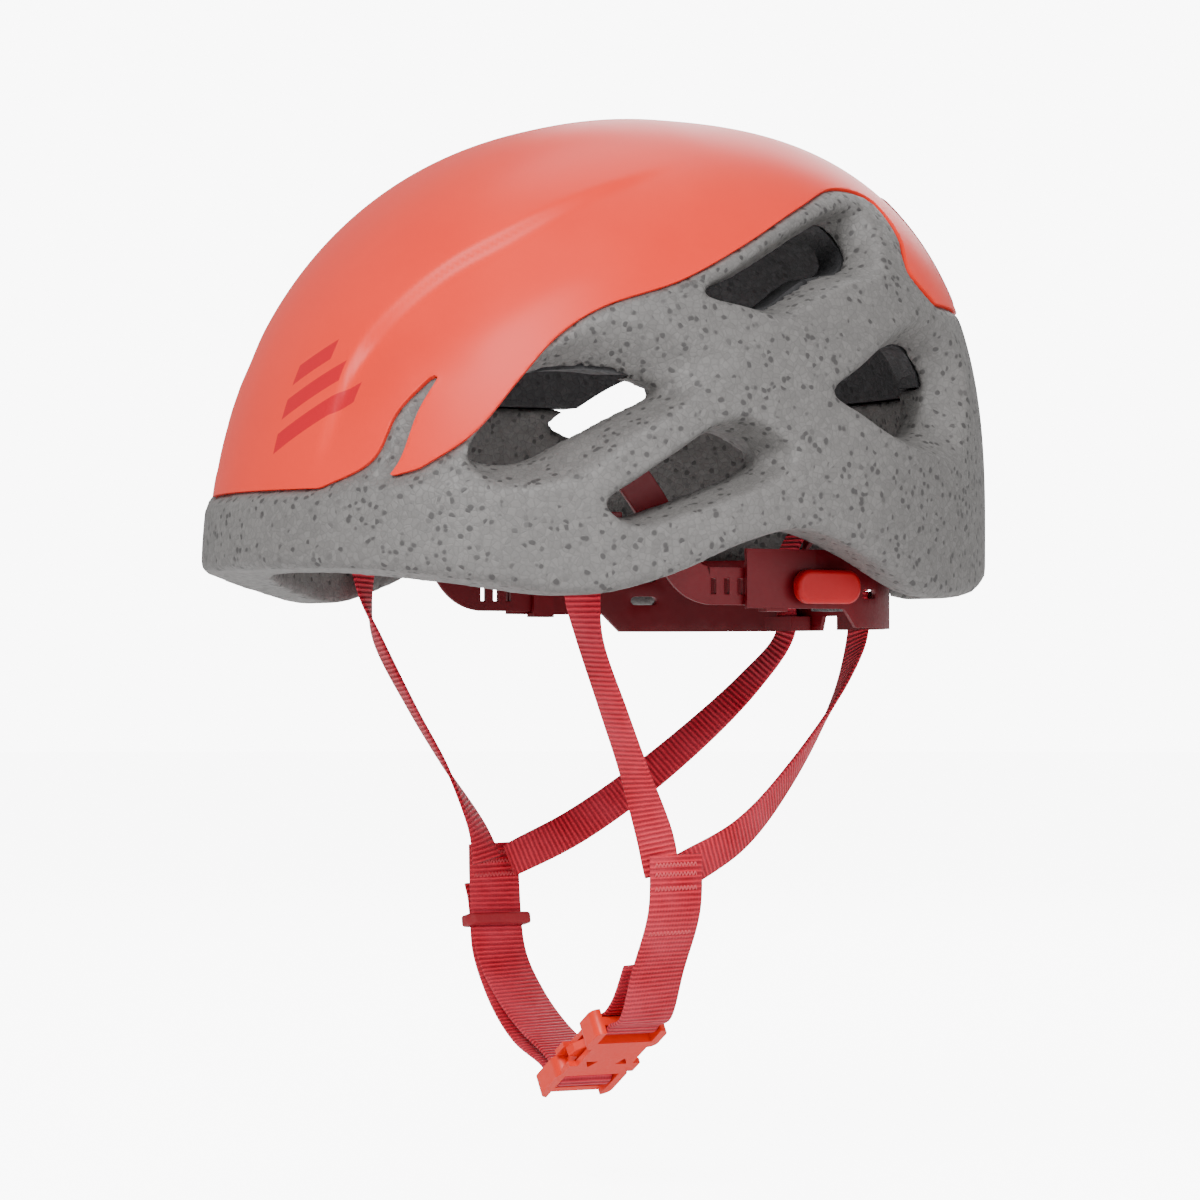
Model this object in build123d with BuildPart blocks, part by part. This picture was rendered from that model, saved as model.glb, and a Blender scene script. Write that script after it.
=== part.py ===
from build123d import *
import math
import os

# Climbing helmet. Millimetres. Front is -Y, the wearer's left is +X and up is +Z.
# The origin is the centre of the head opening, level with the brow edge of the foam.

# Outer form of the helmet
half_width = 112
front_length = 139
rear_length = 128
dome_height = 153
dome_centre_y = 5
widest_level = -3
front_fullness = 2.0
rear_fullness = 2.65
side_fullness_low = 2.05
side_fullness_high = 2.6
skirt_drop = 24

# Walls
shell_wall = 1.8
shell_seam = 0.25
liner_wall = 22
crown_liner_wall = 9
crown_liner_seam = 0.3
crown_liner_edge = 60
vent_recess = 6
vent_reach = 25
pad_gap = 0.4
pad_wall = 5
brow_pad_width = 112
brow_pad_bottom = 8
brow_pad_top = 34
crown_pad_x = 22
crown_pad_width = 22
crown_pad_length = 110
crown_pad_bottom = 90
nape_pad_wall = 3
nape_pad_bottom = -13
nape_pad_top = 3

# Size adjuster
yoke_half_width = 80
yoke_wall = 1.6
yoke_corner_y = 34
yoke_rear_y = 96
yoke_front_y = 8
yoke_top = 6
yoke_bottom = -19
arm_wall = 1.6
arm_height = 12
arm_level = -6
arm_bend_level = 13
arm_bend_middle_y = -22
arm_bend_y = -4
slide_gap = 0.9
sleeve_y = 20
sleeve_length = 8
fit_travel = 16
corner_reach = 7
pivot_y = -40
pivot_level = 37
pivot_radius = 3
pivot_clearance = 0.05
plug_radius = 8
plug_length = 12
pocket_gap = 0.3
button_y = 36
button_length = 24
button_height = 11
button_wall = 4
button_travel = 1.5
stem_length = 9
stem_height = 5
fit_gap = 0.5
lattice_pitch = 14
lattice_rise = 8.5
lattice_slot = 10
lattice_slot_height = 3.4
rack_pitch = 5
rack_tooth = 2
rivet_lip = 2.5
rivet_head = 1.5
hanger_band = 3.5
hanger_spread = 8

# Anchors in the foam
hanger_x = 20
hanger_level = 33
hanger_plug_width = 30
hanger_plug_height = 8
hanger_plug_reach = 5
strap_plug_y = -50
strap_plug_level = 12
strap_plug_width = 16
strap_plug_height = 9

# Webbing
narrow_web = 12
wide_web = 19.5
web_wall = 1.3
junction_x = 61
junction_y = -7
junction_level = -92
guide_x = 23
guide_reach = 4.242
keeper_wall = 2
keeper_height = 4
keeper_gap = 0.6
tail_gap = 2.2

# Side-release buckle, with the catch in the middle of its length
buckle_x = 9.6
buckle_y = -4
buckle_level = -158
buckle_slope = 32
buckle_width = 27
buckle_wall = 9
buckle_plate = 1.9
buckle_bar = 3
web_slot = 4.6
socket_mouth = 8
socket_floor = -9
prong_root = 7
prong_length = 15
prong_wall = 3.2
blade_width = 7

# Lamp clips over the windows in the shell's tail
window_x = 32
window_level = 108
window_length = 34
window_width = 20
window_slope = 52
window_yaw = 0.22
clip_width = 7
clip_lift = 2
clip_wall = 1.4

os.makedirs("parts", exist_ok=True)


# ---------------------------------------------------------------- forms


def dome_measure(x, y, level, growth):
    """Below 1 inside the dome and above 1 outside it."""
    along = y - dome_centre_y
    up = max(level - widest_level, 0)
    length = (rear_length if along > 0 else front_length) + growth
    fullness = rear_fullness if along > 0 else front_fullness
    profile = (abs(along) / length) ** fullness + (up / (dome_height + growth)) ** fullness
    steepness = up**2 / (along**2 + up**2 + 1e-9)
    side = side_fullness_low + (side_fullness_high - side_fullness_low) * steepness
    return (abs(x) / (half_width + growth)) ** side + profile ** (side / fullness)


def dome_ring(level, growth, count=24):
    """Points of the dome's outline at one level, as even bearings."""
    points = []
    for step in range(count):
        bearing = math.radians(360 / count * step)
        near, far = 0.0, 2.0 * front_length
        for _ in range(40):
            reach = (near + far) / 2
            x, y = reach * math.sin(bearing), dome_centre_y + reach * math.cos(bearing)
            near, far = (reach, far) if dome_measure(x, y, level, growth) < 1 else (near, reach)
        points.append((near * math.sin(bearing), dome_centre_y + near * math.cos(bearing)))
    return points


def wall_x(y, level, growth):
    """Half-width of the dome at one place along the helmet."""
    near, far = 0.0, 2.0 * half_width
    for _ in range(40):
        middle = (near + far) / 2
        near, far = (middle, far) if dome_measure(middle, y, level, growth) < 1 else (near, middle)
    return near


def wall_y(x, level, growth):
    """How far back the dome reaches at one place across the helmet."""
    near, far = float(dome_centre_y), 2.0 * rear_length
    for _ in range(40):
        middle = (near + far) / 2
        near, far = (middle, far) if dome_measure(x, middle, level, growth) < 1 else (near, middle)
    return near


def dome(growth):
    """Closed dome, grown or shrunk evenly from the helmet's outer form."""
    levels = [widest_level - skirt_drop, widest_level - skirt_drop / 2, widest_level]
    for climb in (12, 24, 36, 48, 59, 69, 77, 83, 87.5):
        levels.append(widest_level + (dome_height + growth) * math.sin(math.radians(climb)))
    with BuildPart() as body:
        for level in levels:
            with BuildSketch(Plane.XY.offset(level)):
                with BuildLine():
                    Spline(*dome_ring(level, growth), periodic=True)
                make_face()
        loft()
    return body.part


def side_prism(outline, start, end):
    """Side-view outline extruded along X between two distances."""
    with BuildPart() as prism:
        with BuildSketch(Plane.YZ.offset(start)):
            add(outline)
        extrude(amount=end - start)
    return prism.part


def both_sides(piece):
    """The piece with its mirror image on the other side of the helmet."""
    with BuildPart() as pair:
        add(piece)
        mirror(about=Plane.YZ)
    return pair.part


def smooth_outline(*points):
    """Rounded closed outline through the points."""
    with BuildSketch() as outline:
        with BuildLine():
            Spline(*points, periodic=True)
        make_face()
    return outline.sketch


def webbing(stations, width):
    """Flat webbing through stations of (centre, direction of its width)."""
    centres = [Vector(*centre) for centre, _ in stations]
    with BuildPart() as web:
        for index, (_, across) in enumerate(stations):
            before = centres[max(index - 1, 0)]
            after = centres[min(index + 1, len(centres) - 1)]
            heading = (after - before).normalized()
            sideways = Vector(*across)
            sideways = (sideways - heading * sideways.dot(heading)).normalized()
            with BuildSketch(Plane(centres[index], x_dir=sideways, z_dir=heading)):
                Rectangle(width, web_wall)
        loft(ruled=True)
    return web.part


def mirrored(stations):
    """Stations for the wearer's right side."""
    return [((-c[0], c[1], c[2]), (-a[0], a[1], a[2])) for c, a in stations]


def finish(piece, name, color):
    piece.label = name
    piece.color = Color(color)
    export_step(piece, f"parts/{name}.step")


# ---------------------------------------------------------------- outlines in side view (y, z)

# Everything below the lower edge of the foam
with BuildSketch() as rim_outline:
    with BuildLine():
        Spline(
            (-160, -1), (-116, -1.6), (-91, -5.4), (-60, -9.7), (-35, -3.5), (-10, 7), (10.7, 11.2),
            (34, 4.3), (62, -8.6), (93, -8), (115, -3), (160, -2),
        )
        Polyline((160, -2), (160, -60), (-160, -60), (-160, -1))
    make_face()

# Area of the hard shell, with the open slot and the lamp hook at the temple
with BuildSketch() as crown_outline:
    with BuildLine():
        Polyline((160, 86), (160, 200), (-160, 200), (-160, 24.5), (-124, 24))
        Spline((-124, 24), (-114, 32), (-107, 47.5), (-99, 58))
        Line((-99, 58), (-96, 59.5))
        Spline((-96, 59.5), (-102.5, 47.5), (-108, 32), (-110.7, 27))
        Line((-110.7, 27), (-104, 29.5))
        Spline(
            (-104, 29.5), (-91, 40), (-77, 58), (-65.6, 71), (-52, 80), (-26.5, 89), (-1.5, 101.5),
            (26, 116), (46, 124), (65, 121), (70, 109), (68, 97), (79, 87),
        )
        Line((79, 87), (160, 86))
    make_face()

upper_vent_recess = smooth_outline(
    (-93, 32), (-82, 51), (-66, 70), (-46, 76), (-24, 71), (-10, 64), (-29, 50),
    (-46, 39), (-58, 29.5), (-71, 24), (-86, 24),
)
upper_vent_hole = smooth_outline(
    (-87, 34), (-82, 45), (-72, 58), (-57.5, 61), (-42, 59), (-31, 54), (-42, 47.5),
    (-57.5, 39), (-70, 32), (-80, 31),
)
lower_vent_recess = smooth_outline(
    (-56, 19), (-46, 27), (-33, 36), (-20, 44), (-9, 46.5), (3, 41), (8.5, 36), (7, 31),
    (-3, 25), (-16, 20), (-31, 15), (-45, 11), (-53, 14),
)
lower_vent_hole = smooth_outline(
    (-52, 18), (-43, 25), (-30, 33.5), (-17, 41.5), (-9, 41), (1, 34), (-5, 28.5),
    (-16, 24), (-31, 18.5), (-46, 14.5),
)
rear_vent_recess = smooth_outline(
    (-21, 85), (-8, 93), (7, 102), (23, 110), (38, 115.5), (54, 118), (58, 112), (56, 102),
    (51, 94.5), (35, 90.5), (20, 83), (8, 78), (-6, 81),
)
rear_vent_hole = smooth_outline(
    (-14, 85.5), (-2, 91), (14, 99), (30, 107), (45, 112), (49, 103), (44, 96.5), (32, 93.5),
    (18, 87), (8, 82), (-3, 83),
)
nape_vent_recess = smooth_outline(
    (22, 55), (36, 65), (53, 76), (68, 81.5), (85, 76), (93, 66), (90, 50), (86, 37),
    (70, 35), (50, 40), (34, 48),
)
nape_vent_hole = smooth_outline(
    (29, 54.5), (42, 63), (56, 71), (68, 72), (76, 62), (74, 50), (66, 43), (50, 44.5),
    (38, 49.5),
)


# ---------------------------------------------------------------- crown shell and foam

outer_form = dome(0)
head_form = dome(-liner_wall)
shell_under = dome(-shell_wall)
seam_form = dome(-shell_wall - shell_seam)
recess_form = dome(-vent_recess)
crown_cavity = dome(-liner_wall + crown_liner_wall + crown_liner_seam)
crown_liner_top = dome(-liner_wall + crown_liner_wall)
pad_back = dome(-liner_wall - pad_gap)
pad_face = dome(-liner_wall - pad_gap - pad_wall)

crown_zone = side_prism(crown_outline.sketch, -half_width - 10, half_width + 10)
rim_zone = side_prism(rim_outline.sketch, -half_width - 10, half_width + 10)

vent_recesses = [upper_vent_recess, lower_vent_recess, rear_vent_recess, nape_vent_recess]
vent_holes = [upper_vent_hole, lower_vent_hole, rear_vent_hole, nape_vent_hole]
hole_prisms = [both_sides(side_prism(hole, vent_reach, half_width + 10)) for hole in vent_holes]

tail_y = wall_y(window_x, window_level, 0)


def tail_plane(height):
    """Plane on the rear slope at the left tail window, raised off the surface."""
    slope = math.radians(window_slope)
    outward = Vector(window_yaw, math.cos(slope), math.sin(slope)).normalized()
    across = Vector(math.cos(slope), -window_yaw, 0).normalized()
    return Plane(Vector(window_x, tail_y, window_level) + outward * height, x_dir=across, z_dir=outward)


with BuildPart() as window_tool:
    with BuildSketch(tail_plane(-9)):
        Ellipse(window_width / 2, window_length / 2)
    extrude(amount=22)
window_tools = both_sides(window_tool.part)

with BuildPart() as crown_shell:
    add(outer_form)
    add(shell_under, mode=Mode.SUBTRACT)
    add(crown_zone, mode=Mode.INTERSECT)
    add(window_tools, mode=Mode.SUBTRACT)
finish(crown_shell.part, "crown_shell", "orangered")

with BuildPart() as shell_bed:
    add(outer_form)
    add(seam_form, mode=Mode.SUBTRACT)
    add(crown_zone, mode=Mode.INTERSECT)

with BuildPart() as window_pocket:
    add(window_tools)
    add(dome(-shell_wall - 5), mode=Mode.SUBTRACT)

# Places that follow from the sizes above
yoke_inner_x = yoke_half_width - yoke_wall
arm_outer_x = yoke_inner_x - slide_gap
arm_end_y = yoke_corner_y - fit_travel + corner_reach
arm_inner_x = arm_outer_x - arm_wall
plug_x = arm_outer_x + fit_gap
sleeve_inner_x = arm_inner_x - fit_gap - yoke_wall
guide_share = math.sqrt(1 - (guide_x / yoke_inner_x) ** 2)
guide_y = yoke_corner_y + (yoke_rear_y - yoke_wall - yoke_corner_y) * guide_share - guide_reach
hanger_plug_y = wall_y(hanger_x, hanger_level, -liner_wall) - hanger_plug_reach
hanger_plug_depth = hanger_plug_reach + plug_length
strap_plug_x = wall_x(strap_plug_y, strap_plug_level, -liner_wall) - 5

with BuildPart() as pockets:
    with BuildSketch(Plane.YZ.offset(arm_inner_x)):
        with Locations((pivot_y, pivot_level)):
            Circle(plug_radius + pocket_gap)
    extrude(amount=plug_x + plug_length + pocket_gap - arm_inner_x)
    with BuildSketch(Plane.XZ.offset(-hanger_plug_y)):
        with Locations((hanger_x, hanger_level)):
            Rectangle(hanger_plug_width + 2 * pocket_gap, hanger_plug_height + 2 * pocket_gap)
    extrude(amount=-hanger_plug_depth - pocket_gap)
    with BuildSketch(Plane.YZ.offset(strap_plug_x)):
        with Locations((strap_plug_y, strap_plug_level)):
            Rectangle(strap_plug_width + 2 * pocket_gap, strap_plug_height + 2 * pocket_gap)
    extrude(amount=plug_length + pocket_gap)
    # Bay beside each finger pad, which swings up into it with the adjuster
    with BuildSketch(Plane.YZ.offset(arm_inner_x)):
        with Locations((button_y + 8, 4)):
            RectangleRounded(button_length + 32, 52, 8)
    extrude(amount=yoke_half_width + button_wall + 4 - arm_inner_x)
    mirror(about=Plane.YZ)

with BuildPart() as crown_bay:
    add(crown_cavity)
    with BuildSketch(Plane.XY.offset(crown_liner_edge - crown_liner_seam)):
        Rectangle(2 * half_width + 20, 2 * front_length + 20)
    extrude(amount=dome_height, mode=Mode.INTERSECT)

with BuildPart() as outer_liner:
    add(outer_form)
    add(head_form, mode=Mode.SUBTRACT)
    add(crown_bay.part, mode=Mode.SUBTRACT)
    add(rim_zone, mode=Mode.SUBTRACT)
    add(shell_bed.part, mode=Mode.SUBTRACT)
    for recess in vent_recesses:
        ring = side_prism(recess, vent_reach, half_width + 10) - recess_form
        add(both_sides(ring), mode=Mode.SUBTRACT)
    for hole in hole_prisms:
        add(hole, mode=Mode.SUBTRACT)
    add(window_pocket.part, mode=Mode.SUBTRACT)
    add(pockets.part, mode=Mode.SUBTRACT)
finish(outer_liner.part, "outer_liner", "gray")

with BuildPart() as crown_liner:
    add(crown_liner_top)
    add(head_form, mode=Mode.SUBTRACT)
    with BuildSketch(Plane.XY.offset(crown_liner_edge)):
        Rectangle(2 * half_width + 20, 2 * front_length + 20)
    extrude(amount=dome_height, mode=Mode.INTERSECT)
    for hole in hole_prisms:
        add(hole, mode=Mode.SUBTRACT)
finish(crown_liner.part, "crown_liner", "dimgray")


# ---------------------------------------------------------------- comfort pads


def lining(outline, bottom, top):
    """Piece of the pad layer inside the head opening, cut to a plan outline."""
    with BuildPart() as pad:
        add(pad_back)
        add(pad_face, mode=Mode.SUBTRACT)
        with BuildSketch(Plane.XY.offset(bottom)):
            add(outline)
        extrude(amount=top - bottom, mode=Mode.INTERSECT)
    return pad.part


with BuildSketch() as brow_outline:
    with Locations((0, -front_length / 2 - 30)):
        Rectangle(brow_pad_width, front_length - 40)
finish(lining(brow_outline.sketch, brow_pad_bottom, brow_pad_top), "brow_pad", "black")

with BuildSketch() as crown_pad_outline:
    with Locations((crown_pad_x, 0)):
        RectangleRounded(crown_pad_width, crown_pad_length, crown_pad_width / 2 - 1)
left_crown_pad = lining(crown_pad_outline.sketch, crown_pad_bottom, dome_height)
finish(left_crown_pad, "left_crown_pad", "black")
finish(left_crown_pad.mirror(Plane.YZ), "right_crown_pad", "black")


# ---------------------------------------------------------------- size adjuster


def yoke_profile(inset):
    """Plan of the yoke at one depth in its wall, as an open U filled towards the front."""
    with BuildSketch() as plan:
        with BuildLine():
            Line((-yoke_half_width + inset, yoke_front_y), (-yoke_half_width + inset, yoke_corner_y))
            EllipticalCenterArc(
                (0, yoke_corner_y), yoke_half_width - inset, yoke_rear_y - yoke_corner_y - inset,
                start_angle=0, arc_size=180,
            )
            Line((yoke_half_width - inset, yoke_corner_y), (yoke_half_width - inset, yoke_front_y))
            Line((yoke_half_width - inset, yoke_front_y), (-yoke_half_width + inset, yoke_front_y))
        make_face()
    return plan.sketch


def yoke_layer(inset, wall, bottom, top):
    """Band that follows the yoke."""
    with BuildPart() as band:
        with BuildSketch(Plane.XY.offset(bottom)):
            add(yoke_profile(inset))
            add(yoke_profile(inset + wall), mode=Mode.SUBTRACT)
        extrude(amount=top - bottom)
    return band.part


with BuildPart() as nape_yoke:
    add(yoke_layer(0, yoke_wall, yoke_bottom, yoke_top))
    # Lower edge rises towards the finger pads, and again at the middle of the nape
    with BuildSketch(Plane.YZ.offset(-yoke_half_width - 5)):
        Polygon((0, -30), (0, -13), (46, -13), (62, -30), align=None)
    extrude(amount=2 * yoke_half_width + 10, mode=Mode.SUBTRACT)
    with BuildSketch(Plane.XZ.offset(-yoke_corner_y - 30)):
        Polygon((-14, -30), (-9, -14), (9, -14), (14, -30), align=None)
    extrude(amount=-60, mode=Mode.SUBTRACT)
    # Lattice across the nape and slots along the sides
    with BuildSketch(Plane.XZ.offset(-yoke_corner_y - 20)):
        with GridLocations(lattice_pitch, lattice_rise, 4, 2):
            SlotOverall(lattice_slot, lattice_slot_height)
        with Locations((-36, -4), (36, -4)):
            SlotOverall(9, 4, rotation=90)
    extrude(amount=-60, mode=Mode.SUBTRACT)
    with BuildSketch(Plane.YZ.offset(-yoke_half_width - 5)):
        with Locations((59, 0), (59, -8)):
            SlotOverall(8, 3)
        with Locations((button_y, arm_level)):
            Rectangle(stem_length + 2 * fit_gap, stem_height + 2 * fit_gap)
    extrude(amount=2 * yoke_half_width + 10, mode=Mode.SUBTRACT)
    # Sleeves that the arms slide through
    for side in (-1, 1):
        with BuildPart(mode=Mode.PRIVATE) as sleeve:
            with Locations((side * (sleeve_inner_x + yoke_inner_x + fit_gap) / 2, sleeve_y, arm_level)):
                Box(yoke_inner_x + fit_gap - sleeve_inner_x, sleeve_length, arm_height + 4)
            with Locations((side * (arm_inner_x - fit_gap + yoke_inner_x) / 2, sleeve_y, arm_level)):
                Box(
                    yoke_inner_x - arm_inner_x + fit_gap, 2 * sleeve_length, arm_height + 1,
                    mode=Mode.SUBTRACT,
                )
        add(sleeve.part)
        # Guide that keeps the rear strap beside the yoke
        with Locations((side * guide_x, guide_y + 1, yoke_bottom + 2.5)):
            Box(narrow_web + 5, 8, 5)
        with Locations((side * guide_x, guide_y, yoke_bottom + 2.5)):
            Box(narrow_web + 1.6, web_wall + 1.6, 6, mode=Mode.SUBTRACT)
finish(nape_yoke.part, "nape_yoke", "darkred")

with BuildPart() as nape_pad:
    add(yoke_layer(yoke_wall + pad_gap, nape_pad_wall, nape_pad_bottom, nape_pad_top))
    with Locations((0, yoke_rear_y, -5)):
        Box(2 * (guide_x - narrow_web / 2 - 3), 40, 30, mode=Mode.INTERSECT)
finish(nape_pad.part, "nape_pad", "black")

with BuildPart() as left_arm:
    with BuildSketch(Plane.YZ.offset(arm_inner_x)):
        with BuildLine() as arm_line:
            Line((arm_end_y, arm_level), (arm_bend_y, arm_level))
            Spline(
                (arm_bend_y, arm_level), (arm_bend_middle_y, arm_bend_level), (pivot_y, pivot_level),
                tangents=[(-1, 0.1), (-1, 1.4)],
            )
        trace(arm_line.line, arm_height)
        with Locations((pivot_y, pivot_level)):
            Circle(plug_radius)
            Circle(pivot_radius + pivot_clearance, mode=Mode.SUBTRACT)
        with Locations((2, arm_level)):
            with GridLocations(rack_pitch, 0, 3, 1):
                Rectangle(rack_tooth, arm_height / 2 - 1, mode=Mode.SUBTRACT)
    extrude(amount=arm_wall)
finish(left_arm.part, "left_arm", "darkred")
finish(left_arm.part.mirror(Plane.YZ), "right_arm", "darkred")

with BuildPart() as left_temple_anchor:
    with BuildSketch(Plane.YZ.offset(plug_x)):
        with Locations((pivot_y, pivot_level)):
            Circle(plug_radius)
    extrude(amount=plug_length)
    with BuildSketch(Plane.YZ.offset(arm_inner_x - fit_gap)):
        with Locations((pivot_y, pivot_level)):
            Circle(pivot_radius)
    extrude(amount=plug_x - arm_inner_x + fit_gap)
    with BuildSketch(Plane.YZ.offset(arm_inner_x - fit_gap)):
        with Locations((pivot_y, pivot_level)):
            Circle(pivot_radius + rivet_lip)
    extrude(amount=-rivet_head)
finish(left_temple_anchor.part, "left_temple_anchor", "darkred")
finish(left_temple_anchor.part.mirror(Plane.YZ), "right_temple_anchor", "darkred")

with BuildPart() as left_fit_button:
    with BuildSketch(Plane.YZ.offset(yoke_half_width + fit_gap + button_travel)):
        with Locations((button_y, arm_level)):
            RectangleRounded(button_length, button_height, 5)
    extrude(amount=button_wall)
    fillet(left_fit_button.faces().sort_by(Axis.X)[-1].edges(), 1.6)
    with BuildSketch(Plane.YZ.offset(yoke_inner_x + button_travel)):
        with Locations((button_y, arm_level)):
            Rectangle(stem_length, stem_height)
    extrude(amount=yoke_half_width + fit_gap - yoke_inner_x)
finish(left_fit_button.part, "left_fit_button", "red")
finish(left_fit_button.part.mirror(Plane.YZ), "right_fit_button", "red")

hanger_share = math.sqrt(1 - (hanger_x / yoke_half_width) ** 2)
hanger_foot_y = yoke_corner_y + (yoke_rear_y - yoke_corner_y) * hanger_share
hanger_start = Vector(hanger_x, hanger_foot_y - yoke_wall, yoke_top + fit_gap)
hanger_end = Vector(hanger_x, hanger_plug_y + 1, hanger_level - hanger_plug_height / 2 - fit_gap)
hanger_rise = hanger_end - hanger_start
with BuildPart() as left_hanger:
    with BuildSketch(Plane(hanger_start, x_dir=(1, 0, 0), z_dir=Vector(1, 0, 0).cross(hanger_rise))):
        with BuildLine() as hanger_line:
            Polyline(
                (-hanger_spread, hanger_rise.length - 2), (0, 5), (hanger_spread, hanger_rise.length - 2),
            )
        trace(hanger_line.line, hanger_band)
    extrude(amount=web_wall / 2, both=True)
finish(left_hanger.part, "left_hanger", "darkred")
finish(left_hanger.part.mirror(Plane.YZ), "right_hanger", "darkred")

with BuildPart() as left_hanger_anchor:
    with BuildSketch(Plane.XZ.offset(-hanger_plug_y)):
        with Locations((hanger_x, hanger_level)):
            Rectangle(hanger_plug_width, hanger_plug_height)
    extrude(amount=-hanger_plug_depth)
finish(left_hanger_anchor.part, "left_hanger_anchor", "darkred")
finish(left_hanger_anchor.part.mirror(Plane.YZ), "right_hanger_anchor", "darkred")

with BuildPart() as left_strap_anchor:
    with BuildSketch(Plane.YZ.offset(strap_plug_x)):
        with Locations((strap_plug_y, strap_plug_level)):
            Rectangle(strap_plug_width, strap_plug_height)
    extrude(amount=plug_length)
finish(left_strap_anchor.part, "left_strap_anchor", "darkred")
finish(left_strap_anchor.part.mirror(Plane.YZ), "right_strap_anchor", "darkred")


# ---------------------------------------------------------------- buckle

slope = math.radians(buckle_slope)
pull = Vector(-math.cos(slope), 0, -math.sin(slope))
face_out = Vector(math.sin(slope), 0, -math.cos(slope))
catch = Vector(buckle_x, buckle_y, buckle_level)


def buckle_point(along, out):
    """Point of the buckle's own frame: along its pull, and out through its outer face."""
    place = catch + pull * along + face_out * out
    return (place.X, place.Y, place.Z)


def buckle_plane(out):
    return Plane(catch + face_out * out, x_dir=pull, z_dir=face_out)


bar_start = socket_floor - web_slot - buckle_bar - 4
with BuildPart() as buckle_female:
    # Frame with the fixed bar
    with BuildSketch(buckle_plane(-buckle_wall / 2)):
        with Locations(((socket_floor + bar_start) / 2, 0)):
            RectangleRounded(socket_floor - bar_start, buckle_width, 3)
    extrude(amount=buckle_wall)
    with BuildSketch(buckle_plane(-buckle_wall / 2)):
        with Locations((bar_start + buckle_bar + web_slot / 2, 0)):
            Rectangle(web_slot, wide_web + 1)
    extrude(amount=buckle_wall, mode=Mode.SUBTRACT)
    for out in (-buckle_wall / 2, buckle_bar / 2):
        with BuildSketch(buckle_plane(out)):
            with Locations((bar_start, 0)):
                Rectangle(2 * buckle_bar, wide_web + 1)
        extrude(amount=buckle_wall / 2 - buckle_bar / 2, mode=Mode.SUBTRACT)
    # Two plates of the socket, open at the sides for the prongs
    for out in (-buckle_wall / 2, buckle_wall / 2 - buckle_plate):
        with BuildSketch(buckle_plane(out)):
            with Locations(((socket_floor + socket_mouth) / 2 - 1, 0)):
                Rectangle(socket_mouth - socket_floor + 2, buckle_width - 6)
            with Locations((socket_mouth - 3, 0)):
                Rectangle(6, buckle_width)
        extrude(amount=buckle_plate)
    with BuildSketch(buckle_plane(buckle_wall / 2 - buckle_plate)):
        for side in (-1, 1):
            with Locations((1, side * 6)):
                RegularPolygon(2.6, 3, rotation=180 if side > 0 else 0)
    extrude(amount=buckle_plate, mode=Mode.SUBTRACT)
finish(buckle_female.part, "buckle_female", "tomato")

male_start = socket_mouth + fit_gap
first_slot = male_start + 3 + web_slot / 2
second_slot = first_slot + web_slot + buckle_bar
with BuildPart() as buckle_male:
    with BuildSketch(buckle_plane(-buckle_wall / 2 + 1)):
        with Locations((male_start + (second_slot + web_slot / 2 + buckle_bar - male_start) / 2, 0)):
            RectangleRounded(second_slot + web_slot / 2 + buckle_bar - male_start, buckle_width, 4)
    extrude(amount=buckle_wall - 2)
    with BuildSketch(buckle_plane(-buckle_wall / 2)):
        with Locations((first_slot, 0), (second_slot, 0)):
            Rectangle(web_slot, wide_web + 1)
    extrude(amount=buckle_wall, mode=Mode.SUBTRACT)
    for out in (-buckle_wall / 2, buckle_bar / 2):
        with BuildSketch(buckle_plane(out)):
            with Locations((second_slot, 0)):
                Rectangle(web_slot + 4 * buckle_bar, wide_web + 1)
        extrude(amount=buckle_wall / 2 - buckle_bar / 2, mode=Mode.SUBTRACT)
    with BuildSketch(buckle_plane(-1.6)):
        with Locations(((male_start + socket_floor) / 2 + 1, 0)):
            Rectangle(male_start - socket_floor - 2, blade_width)
    extrude(amount=3.2)
finish(buckle_male.part, "buckle_male", "tomato")


def prong(side):
    """Spring arm with its squeeze pad, as one side of the male half."""
    reach = buckle_width / 2
    with BuildPart() as arm:
        with BuildSketch(buckle_plane(-prong_wall / 2)):
            with BuildLine():
                Polyline(
                    (male_start - fit_gap, side * (reach - prong_root)),
                    (male_start - prong_length, side * (reach - prong_root - 0.5)),
                    (male_start - prong_length, side * (reach - 4)), (-3, side * (reach - 0.5)),
                    (0.5, side * (reach + 0.5)), (1.5, side * (reach - 3.6)),
                    (male_start - fit_gap, side * (reach - 3.6)), close=True,
                )
            make_face()
        extrude(amount=prong_wall)
    return arm.part


finish(prong(-1), "buckle_prong_front", "tomato")
finish(prong(1), "buckle_prong_rear", "tomato")


# ---------------------------------------------------------------- webbing

level_across = (0, 1, 0)
left_front_stations = [
    ((strap_plug_x + 1.5, strap_plug_y, strap_plug_level - strap_plug_height / 2 - fit_gap), level_across),
    ((73.5, -49, -14), level_across),
    ((junction_x + 3, -24, -66), (0.1, 1, 0.3)),
    ((junction_x - 1.5, junction_y - 6.5, junction_level + 4), (0, 1, 0.4)),
    ((junction_x - 2.4, junction_y - 4, junction_level - 6), (0, 1, 0.3)),
]
left_rear_stations = [
    ((guide_x, hanger_plug_y - 1.5, hanger_level - hanger_plug_height / 2 - fit_gap), (1, 0, 0)),
    ((guide_x, guide_y, yoke_top), (1, 0, 0)),
    ((guide_x, guide_y, yoke_bottom - 1), (1, 0, 0)),
    ((guide_x + 8, guide_y - 12, yoke_bottom - 18), (0.9, 0.5, 0)),
    ((guide_x + 20, guide_y - 40, -64), (0.55, 0.8, 0)),
    ((junction_x - 7, 22, junction_level + 6), (0.15, 0.9, 0.3)),
    ((junction_x - 3.9, junction_y + 4, junction_level - 6), (0, 0.9, -0.5)),
]
bar_clear = 0.8
loop_out = buckle_bar / 2 + bar_clear + web_wall / 2
bar_middle = bar_start + buckle_bar / 2


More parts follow.
